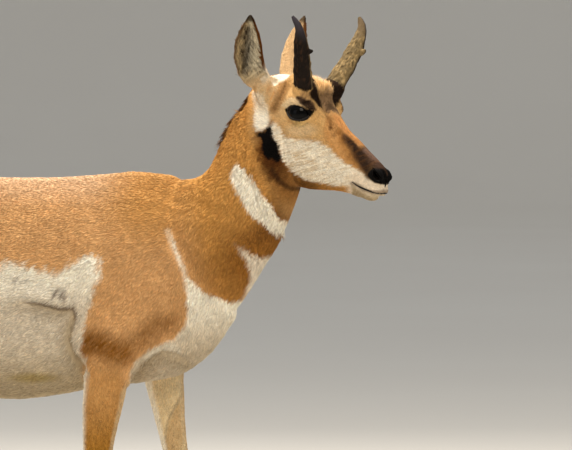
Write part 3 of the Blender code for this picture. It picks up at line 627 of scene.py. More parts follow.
        # Dingy cream and painted shade, darker lower down.
        lay(self.belly, 0.9 * flank * step(0.66, 0.60, height))
        lay(self.under, 0.85 * flank * step(0.56, 0.47, height))
        # Painted shade under the flank's fold, in the chin's grey.
        ledge = path_side(flat, FLANK_FOLD)
        lay(self.chin, 0.62 * step(1.5, -2, ledge) * step(-30, -3, ledge) * step(-190, -90, x) * aside)
        lay(self.stain, 0.70 * coat.spot(-115, 486, 62, 13, 0.2))
        # Painted shade in dark grey at the creases before the elbow.
        grey = np.maximum(coat.spot(-72, 627, 20, 22), 0.7 * coat.spot(-140, 655, 26, 8))
        lay(self.mask, 0.85 * grey * held(0.35 + 0.9 * feathered) * aside)
        # A dark brown line of painted shade in the flank's fold.
        lay(self.brown, 0.55 * bell(ledge, 3.2) * step(-160, -80, x) * step(560, 600, y) * aside)
        # Rump patch, the stripe down to the tail, and the mane
        rump = 1.0 - oval(own, (-0.675, 0.0, 0.700), (0.085, 0.125, 0.125))
        lay(self.white, step(-0.04, 0.06, rump + 0.012 * ragged))
        lay(self.tan, step(0.016, 0.009, off_middle) * step(0.770, 0.790, height) *
            step(-0.55, -0.62, own[:, 0]))
        mane = step(0.013, 0.004, np.abs(own[:, 1] + NAPE_ASIDE)) * step(0.0, -0.30, normals[:, 0])
        lay(self.umber, 0.75 * mane * step(0.830, 0.900, height) * step(0.20, 0.22, own[:, 0]))
        near = height > 0.72
        throat = Swatch(WHERE.side_view(points[near], True), coat.colour[near])
        self._throat(throat, ragged[near])
        self._cheek(throat, 0.55 * ragged[near], normals[near])
        coat.colour[near] = throat.colour
        return blend(coat.colour, self._legs(flat, own, normals), WHERE.leg_share(points))

    def _throat(self, coat: Swatch, ragged: Array) -> None:
        """Lays the brown of the throat, on head and neck alike.

        Args:
            coat: Points in the head's side view.
            ragged: How far edges wander.
        """
        fallen = coat.hairs(62.0, 11.0, 2.4, 66)
        patch = inside(coat.flat, CHEEK_BLACK)
        halo = step(-24, -1, patch) * step(905, 880, coat.up - 0.6 * (coat.along - 275))
        coat.lay(self.deep_tan, 0.75 * halo * held(0.8 + 0.4 * fallen))
        coat.lay(self.umber, 0.70 * step(-12, 0, patch + 2 * ragged))
        dark = coat.within(THROAT_DARK, -12, 4, 3 * ragged) * held(0.90 + 0.3 * fallen)
        coat.lay(self.brown, dark * (0.50 + 0.40 * step(335, 312, coat.along)))
        # A dark line of painted shadow in the throat's crease.
        coat.lay(self.dark, 0.55 * coat.beside(THROAT_CREASE_SHADOW, 7, 1))

    def _cheek(self, coat: Swatch, ragged: Array, normals: Array) -> None:
        """Lays the white spot and the black patch behind the jaw, on head and neck alike.

        Args:
            coat: Points in the head's side view.
            ragged: How far edges wander.
            normals: Directions out of the skin, since the spot ends where the skin turns to the nape.
        """
        fallen = coat.hairs(74.0, 9.0, 1.8, 67)
        sideways = step(0.35, 0.65, np.abs(normals[:, 1]))
        spot = coat.within(SPOT_WHITE, -4, 5, 1.5 * ragged + 1.2 * fallen) * sideways
        coat.lay(self.white, spot * (0.52 + 0.48 * step(966, 938, coat.up)))
        patch = inside(coat.flat, CHEEK_BLACK) + 1.8 * ragged + 1.6 * fallen
        frayed = held(step(895, 870, coat.up) + step(290, 280, coat.along))
        coat.lay(self.black, step(-3, 2.5, patch - 4.5 * frayed * np.clip(0.5 + fallen, 0, 1.4)))

    def _legs(self, flat: Array, own: Array, normals: Array) -> Array:
        """Colours of the legs: tan outside, cream inside and behind, from the elbow and stifle down.

        Args:
            flat: Points in the side view, in millimetres.
            own: The same points from the body's zero, in metres.
            normals: Directions out of the skin there.

        Returns:
            Linear colours, one row each.
        """
        outward = normals[:, 1] * np.sign(own[:, 1])
        inner = step(0.0, -0.5, outward)
        legs = Swatch(flat, self.leg)
        legs.lay(self.tan, 0.5 * step(0.35, 0.47, own[:, 2]))
        legs.lay(self.leg_inside, 0.85 * step(0.05, -0.45, outward))
        tendon = path_side(flat, TENDON)
        legs.lay(self.leg, 0.45 * step(0, -4, tendon) * step(-34, -26, tendon) * inner)
        legs.lay(self.brown, 0.40 * step(3.0, 0.5, np.abs(tendon)) * inner)
        # White along the back of the legs: pale hair there, brightened as a painted rim light.
        legs.lay(self.white, 0.85 * step(-0.30, -0.60, normals[:, 0]) * step(0.50, 0.0, outward - 0.4))
        legs.lay(self.cream, 0.60 * step(0.72, 0.92, normals[:, 0]) * step(0.30, 0.36, own[:, 2]))
        legs.lay(self.cream, 0.20 * step(0.15, 0.05, own[:, 2]))
        return legs.colour

    def _ear(self, points: Array, normals: Array) -> Array:
        """Colours of the ears: tan behind, pale hair and a streaked hollow inside, dark rims and tip."""
        flat = WHERE.side_view(points, True)
        back, hollow = Swatch(flat, self.ear_back), Swatch(flat, self.ear_hair)
        _, share, away, _ = WHERE.ear(points)
        combed, upright = back.hairs(-56.0, 11.0, 1.9, 61), back.hairs(80.0, 9.0, 1.5, 63)
        back.lay(self.white, 0.70 * step(0.40, 0.75, away[:, 0]) * step(0.80, 0.45, share))
        fore = step(247, 258, back.along - 0.10 * (back.up - 1030))
        hollow.lay(self.ear_white, 0.80 * fore * step(1000, 1030, back.up))
        hollow.lay(self.ear_dark, fore * held(0.95 * combed - 0.10))
        deep = hollow.within(EAR_HOLLOW, -7, 6, 4.0 * upright + 2.0 * combed)
        hollow.lay(self.ear_dark, deep * held(0.80 + 0.30 * upright))
        hollow.lay(self.cream, 0.5 * step(0.30, 0.16, share))
        ear = Swatch(flat, blend(back.colour, hollow.colour, WHERE.in_ear(points, normals)))
        round_it = np.degrees(np.arccos(np.clip(-(away @ unit(np.array(EAR_OPENS))), -1, 1)))
        front, roll = step(-0.25, 0.55, away[:, 0]), np.interp(share, *EAR_ROLL)
        rim = step(roll - 26, roll - 8, round_it + 14 * front) * step(0.20, 0.36, share)
        ear.lay(self.ear_rim, rim * (1 - 0.25 * (1 - front)))
        ear.lay(self.ear_edge, 0.75 * rim * front)
        ear.lay(self.dark, 0.85 * step(0.86, 0.94, share + 0.02 * cell_noise(points, 0.004, 62)))
        ear.lay(self.cream, step(0.20, 0.06, share) * (0.75 + 0.25 * combed))
        return ear.colour

    def _head(self, points: Array, normals: Array) -> Array:
        """Colours of the head."""
        coat = Swatch(WHERE.side_view(points, True), self.face)
        lay, within, beside, spot = coat.lay, coat.within, coat.beside, coat.spot
        local = WHERE.mirrored(points)
        along, aside, high = local.T
        ragged = 0.55 * self._ragged(points)
        combed, fallen = coat.hairs(18.0, 12.0, 1.8, 64), coat.hairs(58.0, 10.0, 1.9, 65)
        # Temple and the foot of the ear
        lay(self.neck, step(-0.070, -0.095, along))
        lay(self.deep_tan, 0.80 * beside(NECK_TOP, 70, 10) * step(0.0, -0.04, high))
        lay(self.cream, 0.55 * spot(352, 918, 40, 18))
        lay(self.temple, 0.85 * spot(300, 962, 46, 62) * held(0.80 + 0.5 * fallen))
        foot = np.linalg.norm(local - np.array(EAR_FOOT_HAIR), axis=1)
        lay(self.cream, 0.60 * step(0.040, 0.022, foot) * held(0.6 + 0.7 * fallen))
        lay(self.face_side, within(EAR_FOOT, -5, 5, ragged) * held(0.35 + 0.85 * fallen))
        # A deep tan band along the crease at the ear's foot, and painted shade darkening the crease itself.
        lay(self.deep_tan, 0.55 * beside(EAR_CREASE, 13.0, 3.0))
        lay(self.brown, 0.75 * beside(EAR_CREASE, 4.0, 1.0) * held(0.7 + 0.6 * fallen))
        lay(self.cream, 0.75 * within(LID_FOLD, -2.0, 2.0))
        # Painted shade under the eye, in olive.
        lay(self.stain, 0.45 * spot(349, 929, 19, 7))
        # Side and bridge of the face
        tan = within(FACE_TAN, -5, 5, ragged + 2.0 * combed)
        lay(self.face_side, 0.90 * tan)
        lay(self.deep_tan, 0.30 * tan * held(fallen))
        bridge = step(0.015, 0.008, aside) * step(0.126, 0.110, along)
        lay(self.bridge, 0.85 * bridge * step(0.025, 0.05, along))
        lay(self.brown, 0.38 * beside(FACE_RIDGE, 3.5, 0.5))
        band = step(10, 2, path_distance(coat.flat, FACE_BAND) + 2.0 * combed)
        lay(self.umber, 0.45 * band * held(0.85 + 0.5 * fallen) * (1 - 0.7 * bridge))
        for x, y, size, share in ((404, 921, 6, 0.75), (410, 909, 5, 0.6), (428, 904, 9, 0.5)):
            lay(self.brown, share * spot(x, y, size, size) * (0.8 + 0.4 * fallen))
        # Throat and cheek
        self._throat(coat, ragged)
        white = within(CHEEK_WHITE, -6, 4, ragged + 2.8 * combed)
        lay(self.cheek, white)
        lay(self.white, 0.85 * white * held(0.2 + combed))
        lay(self.cheek_streak, white * held(0.50 * spot(348, 862, 44, 22) + 0.45) * held(-combed))
        # Mask of the nose
        masked = inside(coat.flat, NOSE_DARK) + 2 * ragged
        mask = step(-7, 6, masked) * (1 - 0.92 * bridge)
        lay(self.deep_tan, 0.60 * step(-17, -2, masked) * (1 - white) * (1 - 0.9 * bridge))
        lay(self.mask, 0.95 * mask)
        lay(self.dark, 0.80 * mask * beside(NOSE_DARKEST, 22, 4))
        lay(self.deep_tan, 0.30 * mask * held(combed))
        lay(self.mask_pale, 0.55 * beside(NOSE_GREY, 9, 2))
        # Forehead, crown and brow
        between = within(FOREHEAD, -5, 5, 3 * ragged)
        lay(self.forehead, 0.85 * between)
        lay(self.dark, 0.75 * between * held(0.10 + 0.9 * fallen + 0.5 * combed))
        lay(self.dark, 0.6 * spot(403, 960, 8, 12))
        crown = step(0.026, 0.018, aside) * step(0.036, 0.046, high) * step(-0.035, -0.025, along)
        rise = high + 0.002 * fallen
        lay(self.face_side, 0.60 * crown * held(0.5 + fallen))
        lay(self.cream, 0.40 * crown * step(0.034, 0.046, rise) * held(0.4 + fallen))
        lay(self.white, 0.75 * crown * step(0.050, 0.060, rise))
        lay(self.mask, 0.70 * spot(360, 977, 17, 13) * held(0.65 + 0.6 * fallen))
        frontal = step(-0.045, -0.030, along)
        fold = inside(coat.flat, BROW) + 0.8 * ragged + 1.2 * combed
        lay(self.mask, 0.92 * step(-5.0, 1.0, fold) * frontal)
        lay(self.dark, step(-4.0, 3.5, fold) * frontal * held(0.75 + 0.4 * combed))
        lay(self.dark, within(BROW_STRIPE, -3.4, 1.8, 0.6 * ragged + 0.8 * fallen) * frontal)
        # Behind the jaw and along it
        self._cheek(coat, ragged, normals)
        jaw = within(JAW, -2.5, 2.5, ragged)
        lay(self.jaw, 0.85 * jaw)
        lay(self.brown, 0.6 * jaw * step(0.085, 0.060, along) * step(-0.086, -0.094, high))
        # Crest behind the horns, and the dark collar at their feet
        crest = oval(local, (-0.078, 0.020, 0.026), (0.017, 0.026, 0.022))
        lay(self.white, step(1.25, 0.65, crest + 0.12 * fallen))
        lay(self.dark, within(HORN_HEM, -1.5, 1.5) * step(0.030, 0.038, aside))
        horn = path_distance(local, HORN_FOOT) + 0.0007 * ragged + 0.0008 * fallen
        collar = step(0.0225, 0.0180, horn) * step(0.018, 0.027, high) * step(0.047, 0.037, aside)
        lay(self.mask, 0.95 * collar)
        lay(self.dark, collar * held(0.75 + 0.45 * fallen))
        # Lips, chin, nose pad and the rim of the eye
        lay(self.lip, step(0.120, 0.140, along + 0.004 * combed) * step(-0.040, -0.046, high))
        # The chin's grey, darkened as painted shade, lighter towards its top where the painted shade is less.
        chin = within(CHIN, -3.5, 2.5, 1.5 * combed) * step(0.110, 0.118, along)
        lay(self.chin, chin * held(0.85 + 0.2 * fallen))
        lay(self.lip, 0.35 * chin * step(-0.075, -0.068, high))
        nose = inside(coat.flat, NOSE_BLACK)
        lay(self.dark, 0.80 * step(-9.0, -1.0, nose) * step(826, 836, coat.up))
        lay(self.black, step(-1.5, 1.0, nose))
        lay(self.brown, 0.55 * beside(MOUTH_SHADE, 5.0, 1.0))
        lay(self.mask, 0.90 * spot(492, 857, 20, 8.5))
        lay(self.mask_pale, 0.50 * spot(509, 841, 9, 14))
        groove = step(0.0030, 0.0015, aside) * step(0.176, 0.180, along) * step(-0.049, -0.045, high)
        lay(self.black, groove * step(-0.024, -0.030, high))
        lay(self.black, within(EYE_RIM, -1.2, 1.0))
        return coat.colour


PELAGE = Pelage()


def add_node(tree: Tree, kind: str, inputs: dict | None = None,
        **settings: object) -> bpy.types.Node:
    """Adds one shader node.

    Args:
        tree: The material's node tree.
        kind: The node's type.
        inputs: Values for its sockets, or sockets to link from.
        **settings: Properties of the node.

    Returns:
        The node.
    """
    node = tree.nodes.new(kind)
    for name, value in settings.items():
        setattr(node, name, value)
    set_sockets(tree, node, inputs or {})
    return node


def set_sockets(tree: Tree, node: bpy.types.Node, inputs: dict) -> None:
    """Sets a node's sockets, or links them.

    Args:
        tree: The material's node tree.
        node: The node.
        inputs: Values by the socket's name, or sockets to link from.
    """
    for name, value in inputs.items():
        if isinstance(value, Socket):
            tree.links.new(value, node.inputs[name])
        else:
            node.inputs[name].default_value = value


def opaque(code: str) -> tuple[float, ...]:
    """A hex colour as a socket takes it: linear, and opaque."""
    return (*linear(code), 1.0)


def repeats(grain_mm: float) -> float:
    """Scale of a texture, for a metre, whose grains are that many millimetres wide."""
    return 1000.0 / grain_mm / 2


@dataclass(frozen=True)
class Finish:
    """A surface whose fine grain mixes two shades and lifts it a little; each finish has its own grain."""

    name: str
    roughness: float
    ior: float
    gloss: float                                # the shader's specular level
    grain_mm: float                             # size of the grain
    detail: float = 2.0                         # finer noise in the grain, and how strong it is
    fineness: float = 0.5
    shades: tuple[str, str] = ("000000", "000000")
    bump: tuple[float, float] = (0.0, 0.0)      # strength, and height in metres

    def make(self) -> Material:
        """Builds the material.

        Returns:
            The material, with its colour, grain and gloss.
        """
        material = bpy.data.materials.new(self.name)
        material.use_nodes = True
        tree = material.node_tree
        grain = self.grain(tree, add_node(tree, "ShaderNodeTexCoord").outputs["Object"])
        sockets = {"Base Color": self.colour(tree, grain), "Roughness": self.roughness, "IOR": self.ior,
            "Specular IOR Level": self.gloss}
        if any(self.bump):
            strength, height = self.bump
            bump = add_node(tree, "ShaderNodeBump", {"Height": grain, "Strength": strength,
                "Distance": height})
            sockets["Normal"] = bump.outputs["Normal"]
        set_sockets(tree, tree.nodes["Principled BSDF"], sockets)
        return material

    def grain(self, tree: Tree, place: Socket) -> Socket:
        """Clumps, fibres, flecks or clouds, by their size."""
        inputs = {"Vector": place, "Scale": repeats(self.grain_mm), "Detail": self.detail,
            "Roughness": self.fineness}
        return add_node(tree, "ShaderNodeTexNoise", inputs).outputs["Fac"]

    def colour(self, tree: Tree, grain: Socket) -> Socket:
        """The two shades, mixed by the grain."""
        first, second = map(opaque, self.shades)
        return add_node(tree, "ShaderNodeMixRGB", {"Fac": grain, "Color1": first,
            "Color2": second}).outputs["Color"]


@dataclass(frozen=True)
class HairCoat(Finish):
    """Dry hair in flat tufts, in the markings' colours: matt, with a faint sheen where it turns away."""

    name: str = "hair, short dense summer coat"
    roughness: float = 0.80
    ior: float = 1.45
    gloss: float = 0.10
    grain_mm: float = 3.4       # a clump of hairs, drawn wide enough to show
    detail: float = 3.0
    fineness: float = 0.6
    bump: tuple[float, float] = (0.35, 0.0008)

    def colour(self, tree: Tree, grain: Socket) -> Socket:
        """The markings' colours, as they are painted on the mesh."""
        marks = add_node(tree, "ShaderNodeAttribute", attribute_name="coat", attribute_type="GEOMETRY")
        return marks.outputs["Color"]


@dataclass(frozen=True)
class HornSheath(HairCoat):
    """Keratin sheath grown over the horn core: rough and fibrous, so it is matt, with a streaked colour."""

    name: str = "keratin, horn sheath"
    roughness: float = 0.72
    ior: float = 1.54
    grain_mm: float = 1.6       # a fibre
    detail: float = 4.0
    fineness: float = 0.65
    bump: tuple[float, float] = (0.6, 0.0008)
    dimmest: float = 0.55       # the fibres multiply the painted colour, from here
    brightest: float = 1.35     # to here

    def colour(self, tree: Tree, grain: Socket) -> Socket:
        """The painted colour, shaded by the fibres.

        Args:
            tree: The material's node tree.
            grain: The fibres.

        Returns:
            The socket of the colour.
        """
        shade = add_node(tree, "ShaderNodeMixRGB", {"Fac": grain, "Color1": (*[self.dimmest] * 3, 1.0),
            "Color2": (*[self.brightest] * 3, 1.0)})
        inputs = {"Fac": 1.0, "Color1": super().colour(tree, grain), "Color2": shade.outputs["Color"]}
        return add_node(tree, "ShaderNodeMixRGB", inputs, blend_type="MULTIPLY").outputs["Color"]


@dataclass(frozen=True)
class WetEye(Finish):
    """The wet cornea over a very dark iris: glossy, almost black."""

    name: str = "cornea, wet, over a dark iris"
    roughness: float = 0.08
    ior: float = 1.376
    gloss: float = 0.14
    grain_mm: float = 5.56      # a faint fleck of the iris
    shades: tuple[str, str] = ("020202", "050404")


@dataclass(frozen=True)
class BareSkin(Finish):
    """Damp bare skin of nostrils and lips: dark, softly glossy, finely pebbled."""

    name: str = "skin, damp, nostril and lips"
    roughness: float = 0.40
    ior: float = 1.45
    gloss: float = 0.25
    grain_mm: float = 1.2
    shades: tuple[str, str] = ("060404", "140e0a")
    bump: tuple[float, float] = (0.3, 0.0004)

    def grain(self, tree: Tree, place: Socket) -> Socket:
        """Pebbles of the skin."""
        inputs = {"Vector": place, "Scale": repeats(self.grain_mm)}
        return add_node(tree, "ShaderNodeTexVoronoi", inputs).outputs["Distance"]


@dataclass(frozen=True)
class LidSkin(BareSkin):
    """Bare skin of the lid edges: as dark, and a little drier."""

    name: str = "skin, bare lid edge"
    roughness: float = 0.42
    shades: tuple[str, str] = ("080504", "140e0a")


@dataclass(frozen=True)
class HoofHorn(Finish):
    """Keratin of a hoof: dark, satin, with faint growth rings and dust."""

    name: str = "keratin, hoof wall"
    roughness: float = 0.5
    ior: float = 1.54
    gloss: float = 0.5
    grain_mm: float = 18.85     # from ring to ring, drawn wide enough to show
    shades: tuple[str, str] = ("241d18", "4a3f35")
    bump: tuple[float, float] = (0.25, 0.0005)

    def grain(self, tree: Tree, place: Socket) -> Socket:
        """Growth rings, one for each wave."""
        inputs = {"Vector": place, "Distortion": 2.0, "Scale": 100.0 * math.pi / self.grain_mm,
            "Detail": self.detail}
        return add_node(tree, "ShaderNodeTexWave", inputs, bands_direction="Z").outputs["Fac"]


@dataclass(frozen=True)
class Paper(Finish):
    """Matt paper of a seamless backdrop, pale warm grey: no gloss, and barely mottled."""

    name: str = "paper, matt, pale warm grey"
    roughness: float = 0.9
    ior: float = 1.5
    gloss: float = 0.1
    grain_mm: float = 833.3     # a broad faint cloud
    shades: tuple[str, str] = ("d3cec5", "d7d3ca")


def make_mesh(name: str, points: Array, faces: Array) -> Object:
    """A mesh object from arrays.

    Args:
        name: The piece's name.
        points: Vertices, one row each.
        faces: Corner numbers, three or four a row.

    Returns:
        The object, linked to the scene.
    """
    mesh = bpy.data.meshes.new(name)
    sides = faces.shape[1]
    mesh.vertices.add(len(points))
    mesh.loops.add(faces.size)
    mesh.loops.foreach_set("vertex_index", faces.astype(np.int32).ravel())
    mesh.polygons.add(len(faces))
    mesh.polygons.foreach_set("loop_start", np.arange(0, faces.size, sides, dtype=np.int32))
    mesh.vertices.foreach_set("co", points.astype(np.float32).ravel())
    mesh.update(calc_edges=True)
    shade_smooth(mesh)
    obj = bpy.data.objects.new(name, mesh)
    bpy.context.scene.collection.objects.link(obj)
    return obj


def shade_smooth(mesh: Mesh) -> None:
    """Makes all faces of a mesh smooth-shaded."""
    mesh.polygons.foreach_set("use_smooth", np.ones(len(mesh.polygons), bool))


def read_rows(items: bpy.types.bpy_prop_collection, name: str) -> Array:
    """One row of three numbers for each item."""
    values = np.empty(len(items) * 3, np.float32)
    items.foreach_get(name, values)
    return values.reshape(-1, 3).astype(float)


def read_points(mesh: Mesh) -> Array:
    """Vertex positions of a mesh."""
    return read_rows(mesh.vertices, "co")


def read_normals(mesh: Mesh) -> Array:
    """Vertex normals of a mesh."""
    return read_rows(mesh.vertex_normals, "vector")


def read_triangles(mesh: Mesh) -> Array:
    """Corner numbers of a mesh's triangles, three a row."""
    mesh.calc_loop_triangles()
    corners = np.empty(len(mesh.loop_triangles) * 3, np.int32)
    mesh.loop_triangles.foreach_get("vertices", corners)
    return corners.reshape(-1, 3)


def write_points(mesh: Mesh, points: Array) -> None:
    """Moves a mesh's vertices."""
    mesh.vertices.foreach_set("co", points.astype(np.float32).ravel())
    mesh.update()


def paint(mesh: Mesh, colours: Array) -> None:
    """Stores a colour at each vertex under the name that the coat's material reads.

    Args:
        mesh: The mesh.
        colours: Linear colours, one row for a vertex.
    """
    layer = mesh.color_attributes.new("coat", "FLOAT_COLOR", "POINT")
    rgba = np.ones((len(colours), 4), np.float32)
    rgba[:, :3] = colours
    layer.data.foreach_set("color", rgba.ravel())


def soften(mesh: Mesh, rounds: int, share: Array | None = None) -> None:
    """Smooths a mesh without shrinking it: each pull inwards is followed by a push outwards.

    Args:
        mesh: The mesh.
        rounds: How many pairs of steps.
        share: How much each vertex moves, 0 to 1.
    """
    points = read_points(mesh)
    ends = np.empty(len(mesh.edges) * 2, np.int32)
    mesh.edges.foreach_get("vertices", ends)
    a, b = ends.reshape(-1, 2).T
    count = np.bincount(ends, minlength=len(points))
    weight = np.ones(len(points)) if share is None else share
    for pull in (0.55, -0.565) * rounds:
        for axis in range(3):
            column = points[:, axis]
            total = np.bincount(a, column[b], len(points)) + np.bincount(b, column[a], len(points))
            points[:, axis] = column + weight * pull * (total / count - column)
    write_points(mesh, points)


def regrown(name: str, nodes: Sequence[str], voxel: float, swell: float) -> Object:
    """One closed fine mesh round the solids of some nodes.

    Args:
        name: Name of the new piece.
        nodes: The CAD nodes that it is grown from.
        voxel: Size of its faces in metres.
        swell: How far the solids are swollen first, so that neighbours join.

    Returns:
        The new object.
    """
    points, faces, base = [], [], 0
    for node in nodes:
        source = frame_object(node).data
        faces.append(read_triangles(source) + base)
        points.append(read_points(source) + read_normals(source) * swell)
        base += len(points[-1])
    obj = make_mesh(name, np.concatenate(points), np.concatenate(faces))
    remesh = obj.modifiers.new("grow", "REMESH")
    remesh.mode = "VOXEL"
    remesh.voxel_size = voxel
    graph = bpy.context.evaluated_depsgraph_get()
    grown = bpy.data.meshes.new_from_object(obj.evaluated_get(graph))
    obj.modifiers.clear()
    old, obj.data = obj.data, grown
    bpy.data.meshes.remove(old)
    obj.data.name = name
    shade_smooth(obj.data)
    return obj


def keep_side(obj: Object, place: Array, normal: Array) -> None:
    """Cuts a mesh with a plane, keeps the side that the normal points away from, and closes the cut.

    Args:
        obj: The object to cut.
        place: A point of the plane.
        normal: The plane's normal.
    """
    bm = bmesh.new()
    bm.from_mesh(obj.data)
    everything = bm.verts[:] + bm.edges[:] + bm.faces[:]
    bmesh.ops.bisect_plane(bm, geom=everything, dist=1e-6, plane_co=Vector(place),
        plane_no=Vector(normal), clear_outer=True)
    rim = [edge for edge in bm.edges if edge.is_boundary]
    caps = bmesh.ops.holes_fill(bm, edges=rim, sides=0)["faces"]
    bmesh.ops.triangulate(bm, faces=caps)
    bm.to_mesh(obj.data)
    bm.free()


def join(first: Object, second: Object) -> Object:
    """Adds the second object's mesh to the first, and removes the second.

    Args:
        first: The object to keep.
        second: The object to add.

    Returns:
        The first object.
    """
    bm = bmesh.new()
    bm.from_mesh(first.data)
    bm.from_mesh(second.data)
    bm.to_mesh(first.data)
    bm.free()
    bpy.data.objects.remove(second)
    shade_smooth(first.data)
    return first


def frame_object(node: str) -> Object:
    """The object that carries a CAD node."""
    return next(obj for obj in bpy.context.scene.objects if obj.get("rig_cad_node") == node)


def place_piece(obj: Object, material: Material,
        nodes: Sequence[str] = ()) -> None:
    """Dresses a piece and hands it to the frame.

    Args:
        obj: The piece.
        material: Its finish.
        nodes: The CAD nodes that it stands for.
    """
    obj.data.materials.clear()
    obj.data.materials.append(material)
    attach(obj, "root")
    if nodes:
        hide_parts(*nodes)
    log.info("%s: %d faces", obj.name, len(obj.data.polygons))


def circle(count: int) -> Array:
    """Angles all round, without the last."""
    return np.linspace(0, 2 * math.pi, count, endpoint=False)


def bands(rows: int, count: int, closed: bool) -> Array:
    """Four corners of each face between rings of points.

    Args:
        rows: How many rings.
        count: Points of a ring.
        closed: Joins the last ring to the first.

    Returns:
        Corner numbers, four a row.
    """
    here = np.arange(count)
    after = (here + 1) % count
    pairs = [(k, (k + 1) % rows) for k in range(rows if closed else rows - 1)]
    return np.concatenate([np.stack([a * count + here, a * count + after, b * count + after,
        b * count + here], 1) for a, b in pairs])


def tube_mesh(name: str, rows: Sequence[Array], closed: bool = False) -> Object:
    """A closed mesh that joins rings of points.

    Args:
        name: The piece's name.
        rows: Rings with the same number of points.
        closed: Joins the last ring to the first; if not, a fan closes each end.

    Returns:
        The new object.
    """
    count, points = len(rows[0]), np.concatenate(rows)
    quads = bands(len(rows), count, closed).reshape(-1, count, 4)
    faces = [quad[:, order] for quad in quads for order in ((0, 1, 2), (0, 2, 3))]
    if not closed:
        here = np.arange(count)
        for row, order in ((0, (0, 2, 1)), (len(rows) - 1, (0, 1, 2))):
            points = np.vstack([points, rows[row].mean(0)])
            fan = np.stack([np.full(count, len(points) - 1), row * count + here,
                row * count + (here + 1) % count], 1)
            faces.append(fan[:, order])
    obj = make_mesh(name, points, np.concatenate(faces))
    bm = bmesh.new()
    bm.from_mesh(obj.data)
    bmesh.ops.recalc_face_normals(bm, faces=bm.faces)
    bm.to_mesh(obj.data)
    bm.free()
    return obj


FLESH = ("torso", "neck", "head", *(f"{leg}_{side}_{part}" for leg in ("foreleg", "hindleg")
    for side in ("left", "right") for part in ("upper", "lower")))


@dataclass
class Nostril:
    """One slanting comma of a nostril, with its dark lining."""

    side: int
    half_length: float = 0.0108
    half_height: float = 0.0058
    deep: float = 0.0085
    comma: float = 0.28             # how much the tail of the comma is thinner than its middle
    bend: float = 0.0026            # how far its middle is bent up
    behind: float = 0.004           # how far the skin lies behind the lining
    rim: float = 0.0010
    outward: float = 0.0            # how far the skin lies beyond the planned middle

    def axes(self) -> tuple[Array, Array, Array, Array]:
        """Middle of the nostril and directions out, along and across, in the model."""
        aim = unit(np.array((0.40, 0.90 * self.side, 0.12)))
        along = np.array((math.cos(NOSTRIL_TILT), 0.0, -math.sin(NOSTRIL_TILT)))
        along = unit(along - (along @ aim) * aim)
        across = np.cross(aim, along) * self.side
        place = np.array((NOSTRIL[0], NOSTRIL[1] * self.side, NOSTRIL[2])) + self.outward * aim
        return WHERE.from_head(place), WHERE.turn @ aim, WHERE.turn @ along, WHERE.turn @ across

    def seat(self, points: Array) -> None:
        """Moves the middle out or in to the skin's own surface."""
        centre, aim, along, across = self.axes()
        from_hole = points - centre
        beside = np.hypot(from_hole @ along, from_hole @ across)
        near = (beside < 0.005) & (np.abs(from_hole @ aim) < 0.015)
        self.outward += float(np.mean((from_hole @ aim)[near]))

    def outline(self, grow: float, sink: float) -> Array:
        """A comma-shaped ring.

        Args:
            grow: Its size, 1 for the nostril's own.
            sink: How deep it lies.

        Returns:
            Points of the ring in the model.
        """
        centre, aim, along, across = self.axes()
        turn = circle(28)
        x = np.cos(turn)
        fat = 1 - self.comma + self.comma * x
        flat = (x * self.half_length * grow)[:, None] * along
        flat += (np.sin(turn) * self.half_height * fat * grow + self.bend * (1 - x * x))[:, None] * across
        return centre + flat - sink * aim

    def open(self, points: Array) -> Array:
        """The skin's points, sunk behind the lining and raised at the rim."""
        centre, aim, along, across = self.axes()
        from_hole = points - centre
        x, z = from_hole @ along / self.half_length, from_hole @ across / self.half_height
        fat = 1 - self.comma + self.comma * np.clip(x, -1, 1)
        reach = np.hypot(x, (z - 0.39 * (1 - held(x * x))) / fat)
        near = np.abs(from_hole @ aim) < 0.014
        sink = np.where(near, step(1.25, 0.95, reach) * (self.deep + self.behind), 0.0)
        rim = np.where(near, self.rim * bell(reach - 1.55, 0.28), 0.0)
        return points + (rim - sink)[:, None] * aim

    def build(self, word: str, lining: Material) -> None:
        """Makes the lining as a thin closed cup.

        Args:
            word: left or right.
            lining: Its finish.
        """
        shape = ((1.16, 0.0018), (1.04, 0.0006), (0.90, 0.0030), (0.72, 0.0060), (0.35, 0.0085),
            (0.35, 0.0095), (0.78, 0.0072), (1.05, 0.0042))
        cup = tube_mesh(f"nostril_{word}", [self.outline(*row) for row in shape], closed=True)
        place_piece(cup, lining)


